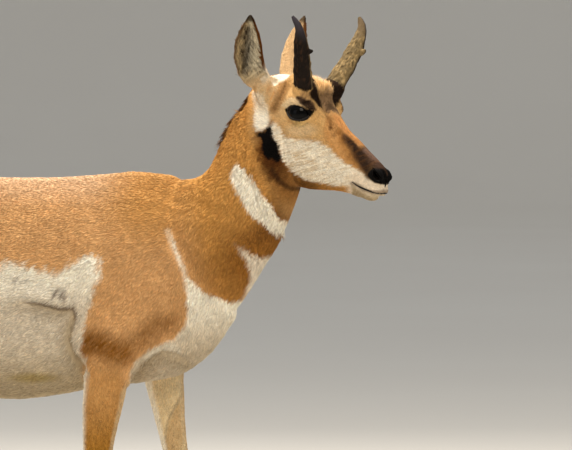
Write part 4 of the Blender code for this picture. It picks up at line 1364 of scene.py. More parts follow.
@dataclass
class Hide:
    """The skin under the coat, one piece from the muzzle to the coronets, finest on the head."""

    body_voxel: float = 0.0036
    head_voxel: float = 0.0016
    swell: float = 0.0005           # joins the solids, and is taken off again
    overlap: float = 0.001          # of the coarser and the finer part
    coat_body: float = 0.0024       # how deep the coat is
    coat_head: float = 0.0009
    coat_legs: float = 0.0011
    under_fur: float = 0.85         # painted shade: the skin is painted darker than the hair over it
    cut_point: tuple[float, float, float] = (0.281, -0.006, 0.865)     # where the finer part begins
    withers: tuple[float, float, float] = (0.143, 0.0, 0.822)          # where the neck meets them
    withers_reach: tuple[float, float, float] = (0.042, 0.080, 0.034)
    withers_rise: float = 0.0085
    lip_crease: float = 0.0017
    obj: Object = field(init=False)
    points: Array = field(init=False)
    normals: Array = field(init=False)
    mouth: Array = field(init=False)
    nostrils: dict[int, Nostril] = field(default_factory=lambda: {side: Nostril(side) for side, _ in SIDES})

    def depth(self, points: Array) -> Array:
        """Depth of the coat in metres: shallow on muzzle and ears, none at the foot of a horn."""
        deep = WHERE.by_region(points, self.coat_body, self.coat_head, self.coat_legs)
        local = WHERE.mirrored(points)
        deep = deep * (1 - 0.45 * step(0.08, 0.14, local[:, 0]))
        deep = deep * (1 - 0.6 * WHERE.ear(points)[0])
        return deep * step(0.018, 0.032, path_distance(local, HORN_FOOT))

    def build(self, material: Material) -> None:
        """Grows, joins and shapes the skin, and colours it.

        Args:
            material: The skin's finish.
        """
        fill = ("eye_left", "eye_right")
        body = regrown("skin", FLESH + fill, self.body_voxel, self.swell)
        soften(body.data, 9)
        head = regrown("skin_head", ("head", "neck", "ear_left", "ear_right") + fill,
            self.head_voxel, self.swell)
        soften(head.data, 10, 1 - 0.75 * WHERE.ear(read_points(head.data))[0])
        place, normal = WHERE.body + np.array(self.cut_point), unit(np.array(OUT_OF_NECK))
        keep_side(body, place + normal * self.overlap, normal)
        keep_side(head, place - normal * self.overlap, -normal)
        self.obj = join(body, head)
        mesh = self.obj.data
        soften(mesh, 26, held(1.4 * self._at_withers(read_points(mesh))))
        points, normals = read_points(mesh), read_normals(mesh)
        points -= normals * (self.depth(points) + self.swell)[:, None]
        points = self._forms(points, normals)
        points = self._face(points, normals)
        write_points(mesh, points)
        self.points, self.normals = points, read_normals(mesh)
        # The skin takes the markings' colours, darkened as painted shade under the coat.
        paint(mesh, PELAGE.at(points, self.normals) * self.under_fur)
        place_piece(self.obj, material, FLESH + ("ear_left", "ear_right"))

    def _forms(self, points: Array, normals: Array) -> Array:
        """Folds behind the elbow and along the flank, and the shallow forms of bone and muscle."""
        flat, own = WHERE.side_view(points, False), points - WHERE.body
        trunk = 1 - WHERE.head_share(points)
        aside = step(0.03, 0.06, np.abs(own[:, 1])) * trunk
        ledge = path_side(flat, FLANK_FOLD) + 1.5 * cell_noise(points, 0.012, 11)
        sink = 0.0072 * bell(ledge + 4.5, 7.0) - 0.0034 * bell(ledge - 9.0, 10.0)
        sink *= step(-185, -105, flat[:, 0])
        brisket = path_side(flat, BRISKET_FOLD)
        sink += 0.0040 * bell(brisket + 3.0, 6.0) - 0.0020 * bell(brisket - 9.0, 8.0)
        for path, width, deep in BODY_LINES:
            sink += deep * bell(path_distance(flat, path), width)
        for centre, size, high in BODY_FORMS:
            sink -= high * bell(oval(folded(own), centre, size), 1.0)
        shallow = 0.0008 * cell_noise(points, 0.045, 9) + 0.0005 * cell_noise(points, 0.019, 10)
        sink -= shallow * (1 - WHERE.leg_share(points))
        sink = sink * aside - self.withers_rise * self._at_withers(points) * trunk
        return points - normals * sink[:, None]

    def _at_withers(self, points: Array) -> Array:
        """1 where neck and withers meet to 0 around it."""
        return bell(oval(points - WHERE.body, self.withers, self.withers_reach), 1.0)

    def _face(self, points: Array, normals: Array) -> Array:
        """Eye openings, nostrils, the line of the mouth and the hollows of the face."""
        local, share = WHERE.mirrored(points), WHERE.head_share(points)
        sink = np.zeros(len(points))
        for centre, size, high in FACE_FORMS:
            sink -= high * bell(oval(local, centre, size), 1.0) * share
        points = points - normals * sink[:, None]
        local = WHERE.mirrored(points)
        self.mouth = self._seat_mouth(local)
        crease = self.lip_crease * bell(path_distance(local, self.mouth), 0.0019) * share
        points = points - normals * crease[:, None]
        for side, _ in SIDES:
            points = EyeSocket(side).open(points)
            self.nostrils[side].seat(points)
            points = self.nostrils[side].open(points)
        return points

    def _seat_mouth(self, local: Array) -> Array:
        """Lays the left half of the mouth's line onto the skin."""
        near = local[(local[:, 0] > 0.12) & (local[:, 2] < -0.04)]
        corners = np.array(MOUTH)
        fine = [a + (b - a) * t for a, b in zip(corners, corners[1:]) for t in (0.0, 0.25, 0.5, 0.75)]
        fine.append(corners[-1])
        seated = np.array([near[np.argmin(np.sum((near - point) ** 2, axis=1))] for point in fine])
        seated[-1, 1] = 0.0
        for _ in range(4):
            seated[1:-1] = (seated[:-2] + 2 * seated[1:-1] + seated[2:]) / 4
        return seated


@dataclass
class EyeSocket:
    """One eye: its ball, the opening between the lids, and the lids themselves."""

    side: int
    half_length: float = 0.0213
    half_height: float = 0.0124
    tilt: float = math.radians(20.0)
    behind: float = 0.003           # how far the skin lies behind the ball's surface
    corner: float = 0.0022          # how far the lids run out at the corners of the eye

    def axes(self) -> tuple[Array, Array, Array, Array]:
        """Middle of the ball and directions out, forwards along the lids and up, in the model."""
        aim = unit(np.array((0.16, 0.97 * self.side, 0.10)))
        length = np.array((math.cos(self.tilt), 0.0, math.sin(self.tilt)))
        length = unit(length - (length @ aim) * aim)
        height = np.cross(aim, length) * self.side
        height = height if height[2] > 0 else -height
        centre = WHERE.from_head(np.array((EYE_FORWARD, EYE_OUT * self.side, 0.0)))
        return centre, WHERE.turn @ aim, WHERE.turn @ length, WHERE.turn @ height

    def open(self, points: Array) -> Array:
        """The skin's points, sunk behind the eyeball inside the opening."""
        centre, aim, length, height = self.axes()
        from_eye = points - centre
        across = np.hypot(from_eye @ length / self.half_length, from_eye @ height / self.half_height)
        reach = np.linalg.norm(from_eye, axis=1)
        inner = (across < 1.12) & (from_eye @ aim > 0) & (reach < 0.04)
        scaled = from_eye * ((EYE_RADIUS - self.behind) / np.maximum(reach, 1e-6))[:, None]
        return np.where(inner[:, None], centre + scaled, points)

    def ring(self, grow: float, radius: float) -> Array:
        """The almond outline of the lids on a ball.

        Args:
            grow: Its size, 1 for the opening's own.
            radius: Radius of the ball.

        Returns:
            Points of the ring in the model.
        """
        centre, aim, length, height = self.axes()
        turn = circle(56)
        x = np.cos(turn) * self.half_length * grow
        x += np.sign(x) * np.abs(np.cos(turn)) ** 14 * self.corner * (grow > 1)
        z = np.sin(turn) * np.abs(np.sin(turn)) ** 0.32 * self.half_height * (1 + (grow - 1) * 1.35)
        flat = x[:, None] * length + z[:, None] * height
        off = np.linalg.norm(flat, axis=1)
        fit = np.minimum(1.0, 0.985 * radius / off)
        flat *= fit[:, None]
        rise = np.sqrt(np.maximum(radius ** 2 - (off * fit) ** 2, 1e-9))
        return centre + flat + rise[:, None] * aim

    def build(self, word: str, cornea: Material, lid: Material) -> None:
        """Makes the eyeball and its lids.

        Args:
            word: left or right.
            cornea: Finish of the ball.
            lid: Finish of the lid edges.
        """
        centre, aim, length, height = self.axes()
        turn, rings = circle(40), 24
        flat = np.cos(turn)[:, None] * length + np.sin(turn)[:, None] * height
        polar = [math.pi * k / rings for k in range(1, rings)]
        ball = [centre + EYE_RADIUS * (math.cos(angle) * aim + math.sin(angle) * flat) for angle in polar]
        place_piece(tube_mesh(f"eyeball_{word}", ball), cornea, [f"eye_{word}"])
        shape = ((0.93, 0.0001), (0.965, 0.0010), (1.02, 0.0019), (1.12, 0.0022), (1.24, 0.0014),
            (1.27, -0.0020), (0.95, -0.0020))
        rows = [self.ring(grow, EYE_RADIUS + high) for grow, high in shape]
        place_piece(tube_mesh(f"lid_edge_{word}", rows, closed=True), lid)


@dataclass
class Growth:
    """Where some tufts grow and how they look: a row of each array for a tuft."""

    roots: Array
    normals: Array
    flow: Array                     # the lie of the hair
    length: Array
    width: Array
    lift: Array                     # height of the tip over the skin
    colours: Array
    unwrap: Array                   # the root's place on the unwrapped skin, 0 to 1

    def picked(self, chosen: Array) -> Growth:
        """Some of the tufts."""
        return Growth(*(getattr(self, part.name)[chosen] for part in fields(self)))


@dataclass
class Tufts:
    """Solid tufts of hair on part of the skin, as one piece.

    Each tuft is a closed spindle of six faces: its root sunk in the skin, its widest part laid along the
    coat and its tip just lifted.
    """

    name: str
    seed: int
    most: int = 32500               # tufts of one piece
    sunk: float = 0.0008            # depth of a root in the skin
    widest: float = 0.42            # where a tuft is widest, as a share of its length
    stray: float = 0.11             # how far tufts turn from the lie of the hair
    sway: float = 0.10              # how far their tips bend aside, as a share of the length
    edge: float = 0.004             # margin round the unwrapped skin

    def build(self, growth: Growth, material: Material) -> None:
        """Makes the piece.

        Args:
            growth: Where its tufts grow and how they look.
            material: The coat's finish.
        """
        rng = np.random.default_rng(self.seed)
        if len(growth.roots) > self.most:
            growth = growth.picked(rng.permutation(len(growth.roots))[:self.most])
        roots, normals, count = growth.roots, growth.normals, len(growth.roots)
        across = unit(np.cross(normals, growth.flow))
        turn = rng.normal(0.0, self.stray, count)[:, None]
        flow = unit(growth.flow * np.cos(turn) + across * np.sin(turn))
        across = unit(np.cross(normals, flow))
        size, width, rise = growth.length[:, None], growth.width[:, None], growth.lift[:, None]
        middle = roots + flow * size * self.widest + normals * rise * 0.45
        sway = rng.normal(0.0, self.sway, count)[:, None] * size
        points = np.stack([roots - normals * self.sunk - flow * size * 0.06, middle - across * width / 2,
            middle + across * width / 2, middle + normals * (0.22 * width + 0.0002),
            roots + flow * size + normals * rise + across * sway], axis=1)
        points = np.clip(points, np.array(CAD_BOX[0]), np.array(CAD_BOX[1]))
        spindle = np.array(((0, 2, 1), (0, 1, 3), (0, 3, 2), (4, 1, 2), (4, 3, 1), (4, 2, 3)))
        faces = (spindle[None] + 5 * np.arange(count)[:, None, None]).reshape(-1, 3)
        obj = make_mesh(self.name, points.reshape(-1, 3), faces)
        vary = 1.0 + rng.normal(0.0, 0.085, count)[:, None]
        warm = rng.normal(0.0, 0.02, count)[:, None] * np.array((1.0, 0.2, -0.8))
        own = growth.colours * (vary + warm)
        # Painted shade darkens each tuft at its root, and a painted highlight lightens its ridge and tip a
        # little.
        shade = np.array((0.84, 0.97, 0.97, 1.01, 1.06))
        paint(obj.data, held(own[:, None, :] * shade[None, :, None]).reshape(-1, 3))
        layer = obj.data.uv_layers.new(name="OFBake")
        patch = np.array(((0.0, -0.0014), (-0.0012, 0.0), (0.0012, 0.0), (0.0, 0.0004), (0.0, 0.0016)))
        spots = np.clip(growth.unwrap, self.edge, 1 - self.edge)[:, None, :] + patch[None]
        layer.data.foreach_set("uv", spots.reshape(-1, 2)[faces.ravel()].astype(np.float32).ravel())
        place_piece(obj, material)


@dataclass
class Coat:
    """The whole coat: where tufts grow, how they lie, and how long and wide they are."""

    hide: Hide
    long_body: float = 0.0120
    long_head: float = 0.0068
    long_legs: float = 0.0080
    wide_body: float = 0.0020
    wide_head: float = 0.0014
    wide_legs: float = 0.0016
    dense_trunk: float = 125000     # tufts for a square metre
    dense_neck: float = 150000
    dense_head: float = 330000
    dense_legs: float = 120000
    rng: np.random.Generator = field(default_factory=lambda: np.random.default_rng(11))

    def flow(self, points: Array, normals: Array) -> Array:
        """The lie of the hair, along the skin.

        Args:
            points: Positions on the skin.
            normals: Directions out of it.

        Returns:
            Unit directions, one row each.
        """
        own, local = points - WHERE.body, WHERE.to_head(points)
        along, up = own[:, 0], own[:, 2]
        lie = np.tile(np.array((-0.92, 0.0, -0.40)), (len(points), 1))
        for direction, share in (((-0.55, 0.0, -0.84), step(-0.10, 0.02, along) * step(0.76, 0.62, up)),
                ((-0.25, 0.0, -0.97), step(0.12, 0.20, along)),
                ((-0.45, 0.0, -0.89), step(-0.36, -0.52, along) * step(0.80, 0.66, up)),
                ((-0.52, 0.0, -0.85), WHERE.neck_share(points)),
                ((-0.12, 0.0, -0.99), WHERE.leg_share(points))):
            lie = blend(lie, np.array(direction), share)
        face = np.tile(np.array((-0.98, 0.0, 0.16)), (len(points), 1))
        face = blend(face, np.array((-0.86, 0.0, -0.50)), step(-0.020, -0.070, local[:, 2]))
        fan = np.stack([np.full(len(points), -0.85), np.clip(local[:, 1] * 8, -0.5, 0.5),
            np.full(len(points), 0.35)], 1)
        face = blend(face, fan, step(0.03, -0.03, local[:, 0]) * step(0.0, 0.035, local[:, 2]))
        face = self._round_horns(points, face)
        lie = blend(lie, face @ WHERE.turn.T, WHERE.head_share(points))
        lie = self._along_ears(points, normals, lie)
        swirl = 0.13 * cell_noise(points, 0.045, 21)[:, None]
        lie = lie + unit(np.cross(normals, lie)) * swirl
        lie -= normals * np.sum(lie * normals, axis=1, keepdims=True)
        return unit(lie)

    def _round_horns(self, points: Array, face: Array) -> Array:
        """Turns the hair at the foot of a horn up along it."""
        local = WHERE.mirrored(points)
        near = step(0.032, 0.020, path_distance(local, HORN_FOOT)) * step(0.016, 0.026, local[:, 2])
        up = np.tile(unit(np.array(HORN_SHAFT[1]) - np.array(HORN_SHAFT[0])), (len(points), 1))
        up[:, 1] *= WHERE.head_side(points)
        return blend(face, up, near)

    def _along_ears(self, points: Array, normals: Array, lie: Array) -> Array:
        """Lays the hair of the ears towards their tips, and inside them in towards the hollow."""
        on_ear, _, away, along = WHERE.ear(points)
        inward = step(0.0, 0.5, away[:, 0]) * WHERE.in_ear(points, normals)
        ear = along + 1.3 * np.array((-1.0, 0.0, 0.15)) * inward[:, None]
        ear[:, 1] *= WHERE.head_side(points)
        return blend(lie, ear @ WHERE.turn.T, on_ear)

    def grows(self, points: Array) -> Array:
        """1 where hair grows, 0 on nostrils, lips and round the eyes."""
        local = WHERE.mirrored(points)
        share = step(0.95, 1.15, oval(local, NOSTRIL, (0.016, 0.016, 0.011)))
        share *= step(0.0012, 0.0028, path_distance(local, self.hide.mouth))
        for side, _ in SIDES:
            centre, _, length, height = EyeSocket(side).axes()
            gap = points - centre
            across = np.hypot(gap @ length / EyeSocket.half_length, gap @ height / EyeSocket.half_height)
            share *= np.where(np.linalg.norm(gap, axis=1) < 0.045, step(1.12, 1.22, across), 1.0)
        return share

    def density(self, points: Array) -> Array:
        """Tufts for a square metre: densest on the face and the ears."""
        neck = WHERE.neck_share(points)
        trunk = self.dense_trunk * (1 - neck) + self.dense_neck * neck
        every = WHERE.by_region(points, trunk, self.dense_head, self.dense_legs)
        return every * (1 + 0.3 * WHERE.ear(points)[0])

    def sow(self, pieces: Sequence[tuple[str, Test, Test]], material: Material) -> None:
        """Grows every piece of the coat.

        Args:
            pieces: Name, which points belong to it, and its unwrap.
            material: The coat's finish.
        """
        growth = self._sized(*self._scattered())
        for k, (name, member, unwrap) in enumerate(pieces):
            chosen = member(growth.roots)
            log.info("%s wants %d tufts", name, int(chosen.sum()))
            part = growth.picked(chosen)
            part.unwrap = unwrap(part.roots)
            Tufts(name, 100 + k).build(part, material)

    def _scattered(self) -> tuple[Array, Array]:
        """Strews roots over the skin."""
        corners, points = read_triangles(self.hide.obj.data), self.hide.points
        a, b, c = (points[corners[:, k]] for k in range(3))
        area = 0.5 * np.linalg.norm(np.cross(b - a, c - a), axis=1)
        middle = (a + b + c) / 3
        expected = area * self.density(middle) * self.grows(middle)
        number = np.floor(expected + self.rng.random(len(expected))).astype(int)
        which = np.repeat(corners, number, axis=0)
        u, v = self.rng.random(len(which)), self.rng.random(len(which))
        flip = u + v > 1
        u[flip], v[flip] = 1 - u[flip], 1 - v[flip]
        weights = np.stack([1 - u - v, u, v], 1)[:, :, None]
        roots = np.sum(points[which] * weights, axis=1)
        return roots, unit(np.sum(self.hide.normals[which] * weights, axis=1))

    def _sized(self, roots: Array, normals: Array) -> Growth:
        """Gives every tuft its lie, size and colour."""
        count, rng = len(roots), self.rng
        flow, local, head = self.flow(roots, normals), WHERE.to_head(roots), WHERE.head_share(roots)
        muzzle = step(0.06, 0.14, local[:, 0]) * head
        on_ear, up_ear, _, _ = WHERE.ear(roots)
        in_ear = WHERE.in_ear(roots, normals) * on_ear
        length = WHERE.by_region(roots, self.long_body, self.long_head, self.long_legs)
        length *= (1 - 0.42 * muzzle) * (1 + 0.10 * WHERE.neck_share(roots) * (1 - head))
        length += 0.0050 * in_ear * step(0.85, 0.55, up_ear)
        length *= 1 - 0.6 * on_ear * step(0.80, 0.97, up_ear)
        length *= 1.0 + 0.20 * cell_noise(roots, 0.012, 31) + rng.normal(0, 0.12, count)
        width = WHERE.by_region(roots, self.wide_body, self.wide_head, self.wide_legs)
        width *= (1 - 0.25 * muzzle) * (1.0 + rng.normal(0, 0.15, count))
        lift = 0.50 + 0.25 * cell_noise(roots, 0.008, 32) + rng.normal(0, 0.13, count)
        lift *= self.hide.depth(roots) + 0.0002
        lift = np.clip(lift + 0.0012 * in_ear, 0.00015, None)
        colours = PELAGE.at(roots + flow * length[:, None] * 0.45, normals)
        colours *= 1.0 + 0.22 * in_ear[:, None] * rng.normal(0, 1, (count, 1))
        crown = step(0.024, 0.016, np.abs(local[:, 1])) * step(-0.045, -0.020, local[:, 0])
        crown *= step(0.030, 0.042, local[:, 2]) * head
        length *= 1 + 1.5 * crown
        lift += 0.0062 * crown * rng.random(count)
        return Growth(roots, normals, flow, length, width, lift, colours, np.zeros((count, 2)))


def round_the_trunk(points: Array) -> Array:
    """Unwraps the trunk: along it, and round it from the belly."""
    own = points - WHERE.body
    around = np.arctan2(np.abs(own[:, 1]), -(own[:, 2] - 0.64)) / math.pi
    return np.stack([(own[:, 0] + 0.72) / 1.02, around], 1)


def round_the_neck(points: Array) -> Array:
    """Unwraps one side of the neck: up it, and from throat to nape."""
    own = points - WHERE.body
    axis = 0.165 + (own[:, 2] - 0.70) * 0.62
    around = np.arctan2(np.abs(own[:, 1]), own[:, 0] - axis) / math.pi
    return np.stack([(own[:, 2] - 0.52) / 0.55, around], 1)


def round_the_head(points: Array) -> Array:
    """Unwraps one side of the head: along the face, and from chin to crown."""
    local = WHERE.to_head(points)
    around = np.arctan2(np.abs(local[:, 1]), -(local[:, 2] + 0.04)) / math.pi
    return np.stack([(local[:, 0] + 0.15) / 0.37, around], 1)


def round_the_ear(points: Array) -> Array:
    """Unwraps one ear: round its axis, and up it."""
    _, share, away, _ = WHERE.ear(points)
    return np.stack([np.arctan2(away[:, 1], away[:, 0]) / (2 * math.pi) + 0.5, share], 1)


def round_the_legs(points: Array) -> Array:
    """Unwraps two legs side by side: round each, and up it."""
    own = points - WHERE.body
    hind = np.where(own[:, 1] < 0, HINDLEG_RIGHT, HINDLEG_LEFT)
    axis = np.where(own[:, 0] > BEHIND_FORELEGS, WHERE.foreleg_middle(own), hind)
    around = np.arctan2(np.abs(own[:, 1]) - LEG_ASIDE, own[:, 0] - axis) / (2 * math.pi) + 0.5
    return np.stack([(around + (own[:, 1] > 0)) / 2, own[:, 2] / 0.60], 1)


def kind(points: Array) -> Array:
    """0 trunk, 1 neck, 2 head, 3 legs, 4 ears."""
    number = np.where(WHERE.neck_share(points) > 0.5, 1, 0)
    number = np.where(WHERE.leg_share(points) > 0.5, 3, number)
    number = np.where(WHERE.head_share(points) > 0.5, 2, number)
    return np.where(WHERE.ear(points)[0] > 0.5, 4, number)


def members(number: int, side: int, low: float = -9.0, high: float = 9.0) -> Test:
    """Tells the points of one kind on one side, between two stations along the body.

    Args:
        number: The kind.
        side: 1 for left, -1 for right, 0 for both.
        low: The hindmost station.
        high: The foremost station.

    Returns:
        A function that gives True for each such point.
    """
    def belongs(points: Array) -> Array:
        """True for each point that belongs."""
        along, across, _ = (points - WHERE.body).T
        across = WHERE.to_head(points)[:, 1] if number in (2, 4) else across
        on_side = ((across > 0) == (side > 0)) | (side == 0)
        return (kind(points) == number) & on_side & (along >= low) & (along < high)
    return belongs


def coat_pieces() -> list[tuple[str, Test, Test]]:
    """Name, members and unwrap of each piece of the coat."""
    made = []
    for side, word in SIDES:
        made += [(f"coat_quarter_{word}", members(0, side, high=-0.40), round_the_trunk),
            (f"coat_barrel_{word}", members(0, side, -0.40, -0.06), round_the_trunk),
            (f"coat_shoulder_{word}", members(0, side, -0.06), round_the_trunk),
            (f"coat_neck_{word}", members(1, side), round_the_neck),
            (f"coat_head_{word}", members(2, side), round_the_head),
            (f"coat_ear_{word}", members(4, side), round_the_ear)]
    return made + [("coat_forelegs", members(3, 0, low=BEHIND_FORELEGS), round_the_legs),
        ("coat_hindlegs", members(3, 0, high=BEHIND_FORELEGS), round_the_legs)]


@dataclass
class Horns:
    """Both horns: fibrous sheaths over the cores, rough at the foot and rubbed at the tip."""

    voxel: float = 0.0011
    inset: float = 0.0002           # the roughness is laid over a slightly smaller horn
    knob: tuple[float, float, float] = (-0.004, 0.088, 0.117)          # the bulge where the prong grows
    knob_reach: float = 0.008
    knob_rise: float = 0.0022
    outer: str = "150d07"
    inner: str = "7e6b49"
    outer_tip: str = "38343a"
    inner_tip: str = "65543c"
    worn: str = "2c1a0c"
    foot: str = "1d140e"

    def build(self, material: Material) -> None:
        """Grows each horn from its solid, roughens it and colours it.

        Args:
            material: Finish of the sheaths.
        """
        for side, word in SIDES:
            obj = regrown(f"horn_sheath_{word}", [f"horn_{word}"], self.voxel, -self.inset)
            soften(obj.data, 3)
            points, normals = read_points(obj.data), read_normals(obj.data)
            local = WHERE.to_head(points)
            high = step(0.122, 0.160, local[:, 2])
            long = local * np.array((1.0, 1.0, 0.28))
            rough = 0.00060 * cell_noise(long, 0.0028, 51) + 0.00045 * cell_noise(local, 0.0065, 52)
            rough += 0.0013 * np.clip(cell_noise(long, 0.0048, 54), -0.4, 1.0)
            knob = np.array(self.knob) * (1, side, 1)
            rough += self.knob_rise * bell(np.linalg.norm(local - knob, axis=1), self.knob_reach)
            points += normals * ((rough - 0.0006) * (1 - 0.80 * high))[:, None]
            write_points(obj.data, points)
            inward = step(0.15, -0.45, (normals @ WHERE.turn)[:, 1] * side)
            paint(obj.data, self._colour(local, inward, high))
            place_piece(obj, material, [f"horn_{word}"])

    def _colour(self, local: Array, inward: Array, high: Array) -> Array:
        """Colours of a sheath: nearly black outside, paler inside, streaked along its fibres.

        Args:
            local: Points in the head's frame.
            inward: 0 on the outer side to 1 on the inner.
            high: 0 below to 1 at the tip.

        Returns:
            Linear colours, one row each.
        """
        base = blend(linear(self.outer), linear(self.inner), inward)
        tip = blend(linear(self.outer_tip), linear(self.inner_tip), inward)
        pale = step(0.0, 0.7, cell_noise(local * (1.0, 1.0, 0.28), 0.0034, 53))[:, None]
        fibre = held(cell_noise(local * (1.0, 1.0, 0.15), 0.0020, 55))[:, None]
        cross = held(cell_noise(local * (0.5, 0.5, 1.0), 0.0030, 56))[:, None]
        colour = base * (1 + 0.85 * pale) * (1 - 0.70 * fibre) * (1 - 0.35 * cross * inward[:, None])
        colour += linear(self.worn) * 0.55 * pale
        colour = blend(colour, tip, high)
        return held(blend(colour, linear(self.foot), 0.5 * step(0.066, 0.048, local[:, 2])))


@dataclass
class Hooves:
    """Eight toes of horn, rounded where the solids are faceted."""

    voxel: float = 0.0011
    inset: float = 0.0002

    def build(self, material: Material) -> None:
        """Grows each toe from its solid.

        Args:
            material: Finish of the toes.
        """
        for leg in ("foreleg", "hindleg"):
            for _, side in SIDES:
                for toe in ("outer", "inner"):
                    node = f"{leg}_{side}_hoof_{toe}"
                    obj = regrown(f"toe_{leg}_{side}_{toe}", [node], self.voxel, -self.inset)
                    soften(obj.data, 3)
                    place_piece(obj, material, [node])


@dataclass
class Mane:
    """The short dark fringe on the nape."""

    count: int = 1000
    low: float = 0.885
    high: float = 0.985
    half_width: float = 0.0075
    dark: str = "2c1a0e"
    brown: str = "a06a30"

    def build(self, hide: Hide, material: Material) -> None:
        """Grows the fringe.

        Args:
            hide: The skin that it grows on.
            material: Its finish.
        """
        rng = np.random.default_rng(71)
        along, across, up = (hide.points - WHERE.body).T
        nape = (up > self.low) & (up < self.high) & (hide.normals[:, 0] < -0.35)
        reach = self.half_width * step(0.880, 0.935, up) * step(0.990, 0.965, up) + 0.0005
        nape &= (np.abs(across + NAPE_ASIDE) < reach) & (along < 0.30)
        chosen = rng.choice(np.flatnonzero(nape), self.count)
        roots = hide.points[chosen] + rng.normal(0, 0.0012, (self.count, 3))
        outs = hide.normals[chosen]
        flow = unit(np.array((-0.62, 0.0, -0.78)) + 0.10 * outs + rng.normal(0, 0.10, (self.count, 3)))
        off = roots[:, 1] - WHERE.body[1]
        length = 0.009 + 0.008 * rng.random(self.count)
        colours = blend(linear(self.dark), linear(self.brown), rng.random(self.count) ** 1.4)
        unwrap = np.stack([(roots[:, 2] - 0.87) / 0.14, 0.5 + off / 0.06], 1)
        lift = 0.0012 + 0.0020 * bell(off + NAPE_ASIDE, 0.007)
        growth = Growth(roots, outs, flow, length, np.full(self.count, 0.0016), lift, colours, unwrap)
        Tufts("mane", 72).build(growth, material)


@dataclass
class Tail:
    """The tail's core with long hair, tan above and white at the edges and below."""

    count: int = 5000
    voxel: float = 0.0018
    coat: float = 0.002             # depth of the hair over the core
    tan: str = "a87c48"
    white: str = "e6dcc8"

    def build(self, material: Material) -> None:
        """Grows the core from its solid, and the hair on it.

        Args:
            material: Finish of both.
        """
        obj = regrown("tail_core", ["tail"], self.voxel, 0.0)
        soften(obj.data, 5)
        points, normals = read_points(obj.data), read_normals(obj.data)
        points -= normals * self.coat
        write_points(obj.data, points)
        paint(obj.data, self._colour(points))
        place_piece(obj, material, ["tail"])
        rng = np.random.default_rng(73)
        chosen = rng.choice(len(points), self.count)
        roots, outs = points[chosen], normals[chosen]
        flow = np.array((-0.10, 0.0, -1.0)) + rng.normal(0, 0.06, (self.count, 3))
        flow -= outs * np.sum(flow * outs, axis=1, keepdims=True)
        low = min(points[:, 2])
        length = np.clip(roots[:, 2] - low, 0.006, 0.020) * (0.7 + 0.3 * rng.random(self.count))
        length *= 1 - 0.5 * step(0.2, 0.8, outs[:, 2])
        around = np.arctan2(roots[:, 1] - WHERE.body[1],
            roots[:, 0] - roots[:, 0].mean()) / (2 * math.pi) + 0.5
        unwrap = np.stack([around, (roots[:, 2] - low) / 0.15], 1)
        growth = Growth(roots, outs, unit(flow), length, np.full(self.count, 0.0022),
            np.full(self.count, 0.0016), self._colour(roots), unwrap)
        Tufts("tail_hair", 74).build(growth, material)

    def _colour(self, points: Array) -> Array:
        """Linear colours: tan along the middle of the upper side, white elsewhere."""
        own = points - WHERE.body
        middle = step(0.014, 0.007, np.abs(own[:, 1])) * step(-0.700, -0.706, own[:, 0])
        middle = np.maximum(middle, step(0.745, 0.765, own[:, 2]))
        return blend(linear(self.white), linear(self.tan), middle)


@dataclass
class MouthLine:
    """The dark line between the lips, from corner to corner."""

    radius: float = 0.0014
    sunk: float = 0.0009
    flat: float = 1.3               # how much wider it is outwards than up

    def build(self, half: Array, material: Material) -> None:
        """Makes the line as a thin closed tube that tapers to its ends.

        Args:
            half: Its left half on the skin, corner to middle, in the head's frame.
            material: Finish of the lips.
        """
        fine = np.concatenate([half, half[-2::-1] * (1, -1, 1)])
        last, turn, rows = len(fine) - 1, circle(8), []
        for k, point in enumerate(fine):
            along = unit(fine[min(k + 1, last)] - fine[max(k - 1, 0)])
            out = unit(np.cross(along, (0, 0, 1)))
            out = out if out @ (point - np.array((0.14, 0, point[2]))) > 0 else -out
            radius = self.radius * min(1.0, 0.3 + 0.12 * min(k, last - k))
            ring = np.cos(turn)[:, None] * np.cross(along, out) + self.flat * np.sin(turn)[:, None] * out
            rows.append(WHERE.from_head(point - out * self.sunk + radius * ring))
        place_piece(tube_mesh("mouth_line", rows), material)


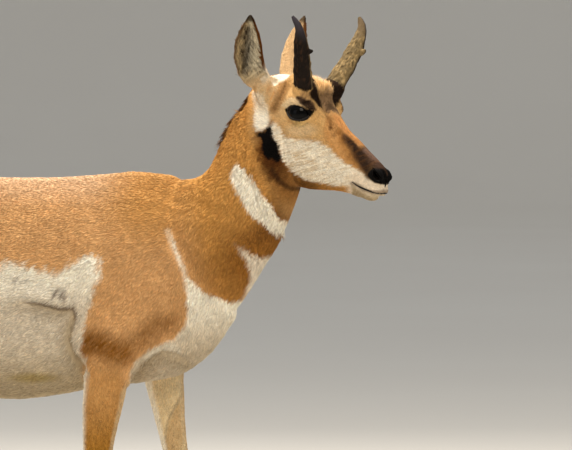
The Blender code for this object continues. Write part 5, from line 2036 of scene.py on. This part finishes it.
@dataclass
class Studio:
    """A pale seamless bowl, soft lights and the camera at the photograph's angle."""

    wall: float = 30.0
    bend: float = 7.0
    height: float = 18.0
    turns: int = 96
    steps: int = 12                 # of the bend between floor and wall
    below: float = 0.0002           # how far the floor lies below the soles
    sky: str = "eef1f6"
    sky_strength: float = 0.75
    sensor: float = 36.0            # millimetres

    def build(self) -> None:
        """Makes the bowl, the lights, the sky and the camera."""
        flat = self.wall - self.bend
        bends = [math.pi / 2 * k / self.steps for k in range(1, self.steps + 1)]
        profile = [(0.0001, 0.0), (4.0, 0.0), (flat, 0.0)]
        profile += [(flat + self.bend * math.sin(angle), self.bend * (1 - math.cos(angle)))
            for angle in bends]
        profile.append((self.wall, self.height))
        turn = circle(self.turns)
        rows = [np.stack([np.cos(turn) * reach, np.sin(turn) * reach,
            np.full(self.turns, high - self.below)], 1) for reach, high in profile]
        bowl = make_mesh("studio_bowl", np.concatenate(rows), bands(len(rows), self.turns, closed=False))
        bowl.data.materials.append(Paper().make())
        lamps = (("overhead", (-0.6, 0.4, 4.2), (0.2, 0, 0.6), 3.0, 242.0, "fff6ea"),
            ("key", (1.2, -3.6, 3.0), (0.3, 0, 0.75), 1.8, 90.0, "fff1dc"),
            ("fill", (-3.0, -3.2, 1.4), (0.0, 0, 0.6), 2.2, 16.0, "f2f5ff"),
            ("rim", (-0.4, 3.2, 2.8), (0.3, 0, 0.8), 1.6, 75.0, "fff8ee"))
        for name, at, to, size, power, colour in lamps:
            light = bpy.data.lights.new(name, "AREA")
            light.size, light.energy, light.color = size, power, linear(colour)
            self._aim(bpy.data.objects.new(name, light), Vector(at), Vector(at) - Vector(to))
        world = bpy.data.worlds.new("soft sky")
        bpy.context.scene.world = world
        world.use_nodes = True
        set_sockets(world.node_tree, world.node_tree.nodes["Background"],
            {"Color": opaque(self.sky), "Strength": self.sky_strength})
        bpy.context.scene.view_settings.view_transform = "Standard"
        self._camera()

    def _aim(self, obj: Object, at: Vector, back: Vector) -> None:
        """Sets a light or the camera at its place, looking away from the way back."""
        bpy.context.scene.collection.objects.link(obj)
        obj.location = at
        obj.rotation_euler = (-back).to_track_quat("-Z", "Y").to_euler()

    def _camera(self) -> None:
        """The camera, level with the animal's shoulder."""
        along, up = VIEW_FROM_BODY
        target = Vector(WHERE.body) + Vector((along / math.cos(VIEW_AZIMUTH), 0.0, up))
        back = Vector(view_direction())
        camera = bpy.data.cameras.new("camera")
        camera.sensor_width = self.sensor
        camera.lens = self.sensor * VIEW_DISTANCE / VIEW_WIDTH
        camera.clip_end = 80.0
        obj = bpy.data.objects.new("camera", camera)
        self._aim(obj, target + back * VIEW_DISTANCE, back)
        bpy.context.scene.camera = obj


def main() -> None:
    """Builds the dressed model and the studio in order."""
    logging.basicConfig(level=logging.INFO, format="%(name)s %(message)s")
    hair, damp = HairCoat().make(), BareSkin().make()
    cornea, lid = WetEye().make(), LidSkin().make()
    hide = Hide()
    hide.build(hair)
    Coat(hide).sow(coat_pieces(), hair)
    for side, word in SIDES:
        EyeSocket(side).build(word, cornea, lid)
        hide.nostrils[side].build(word, damp)
    MouthLine().build(hide.mouth, damp)
    Horns().build(HornSheath().make())
    Hooves().build(HoofHorn().make())
    Mane().build(hide, hair)
    Tail().build(hair)
    Studio().build()


if __name__ == "__main__":
    main()
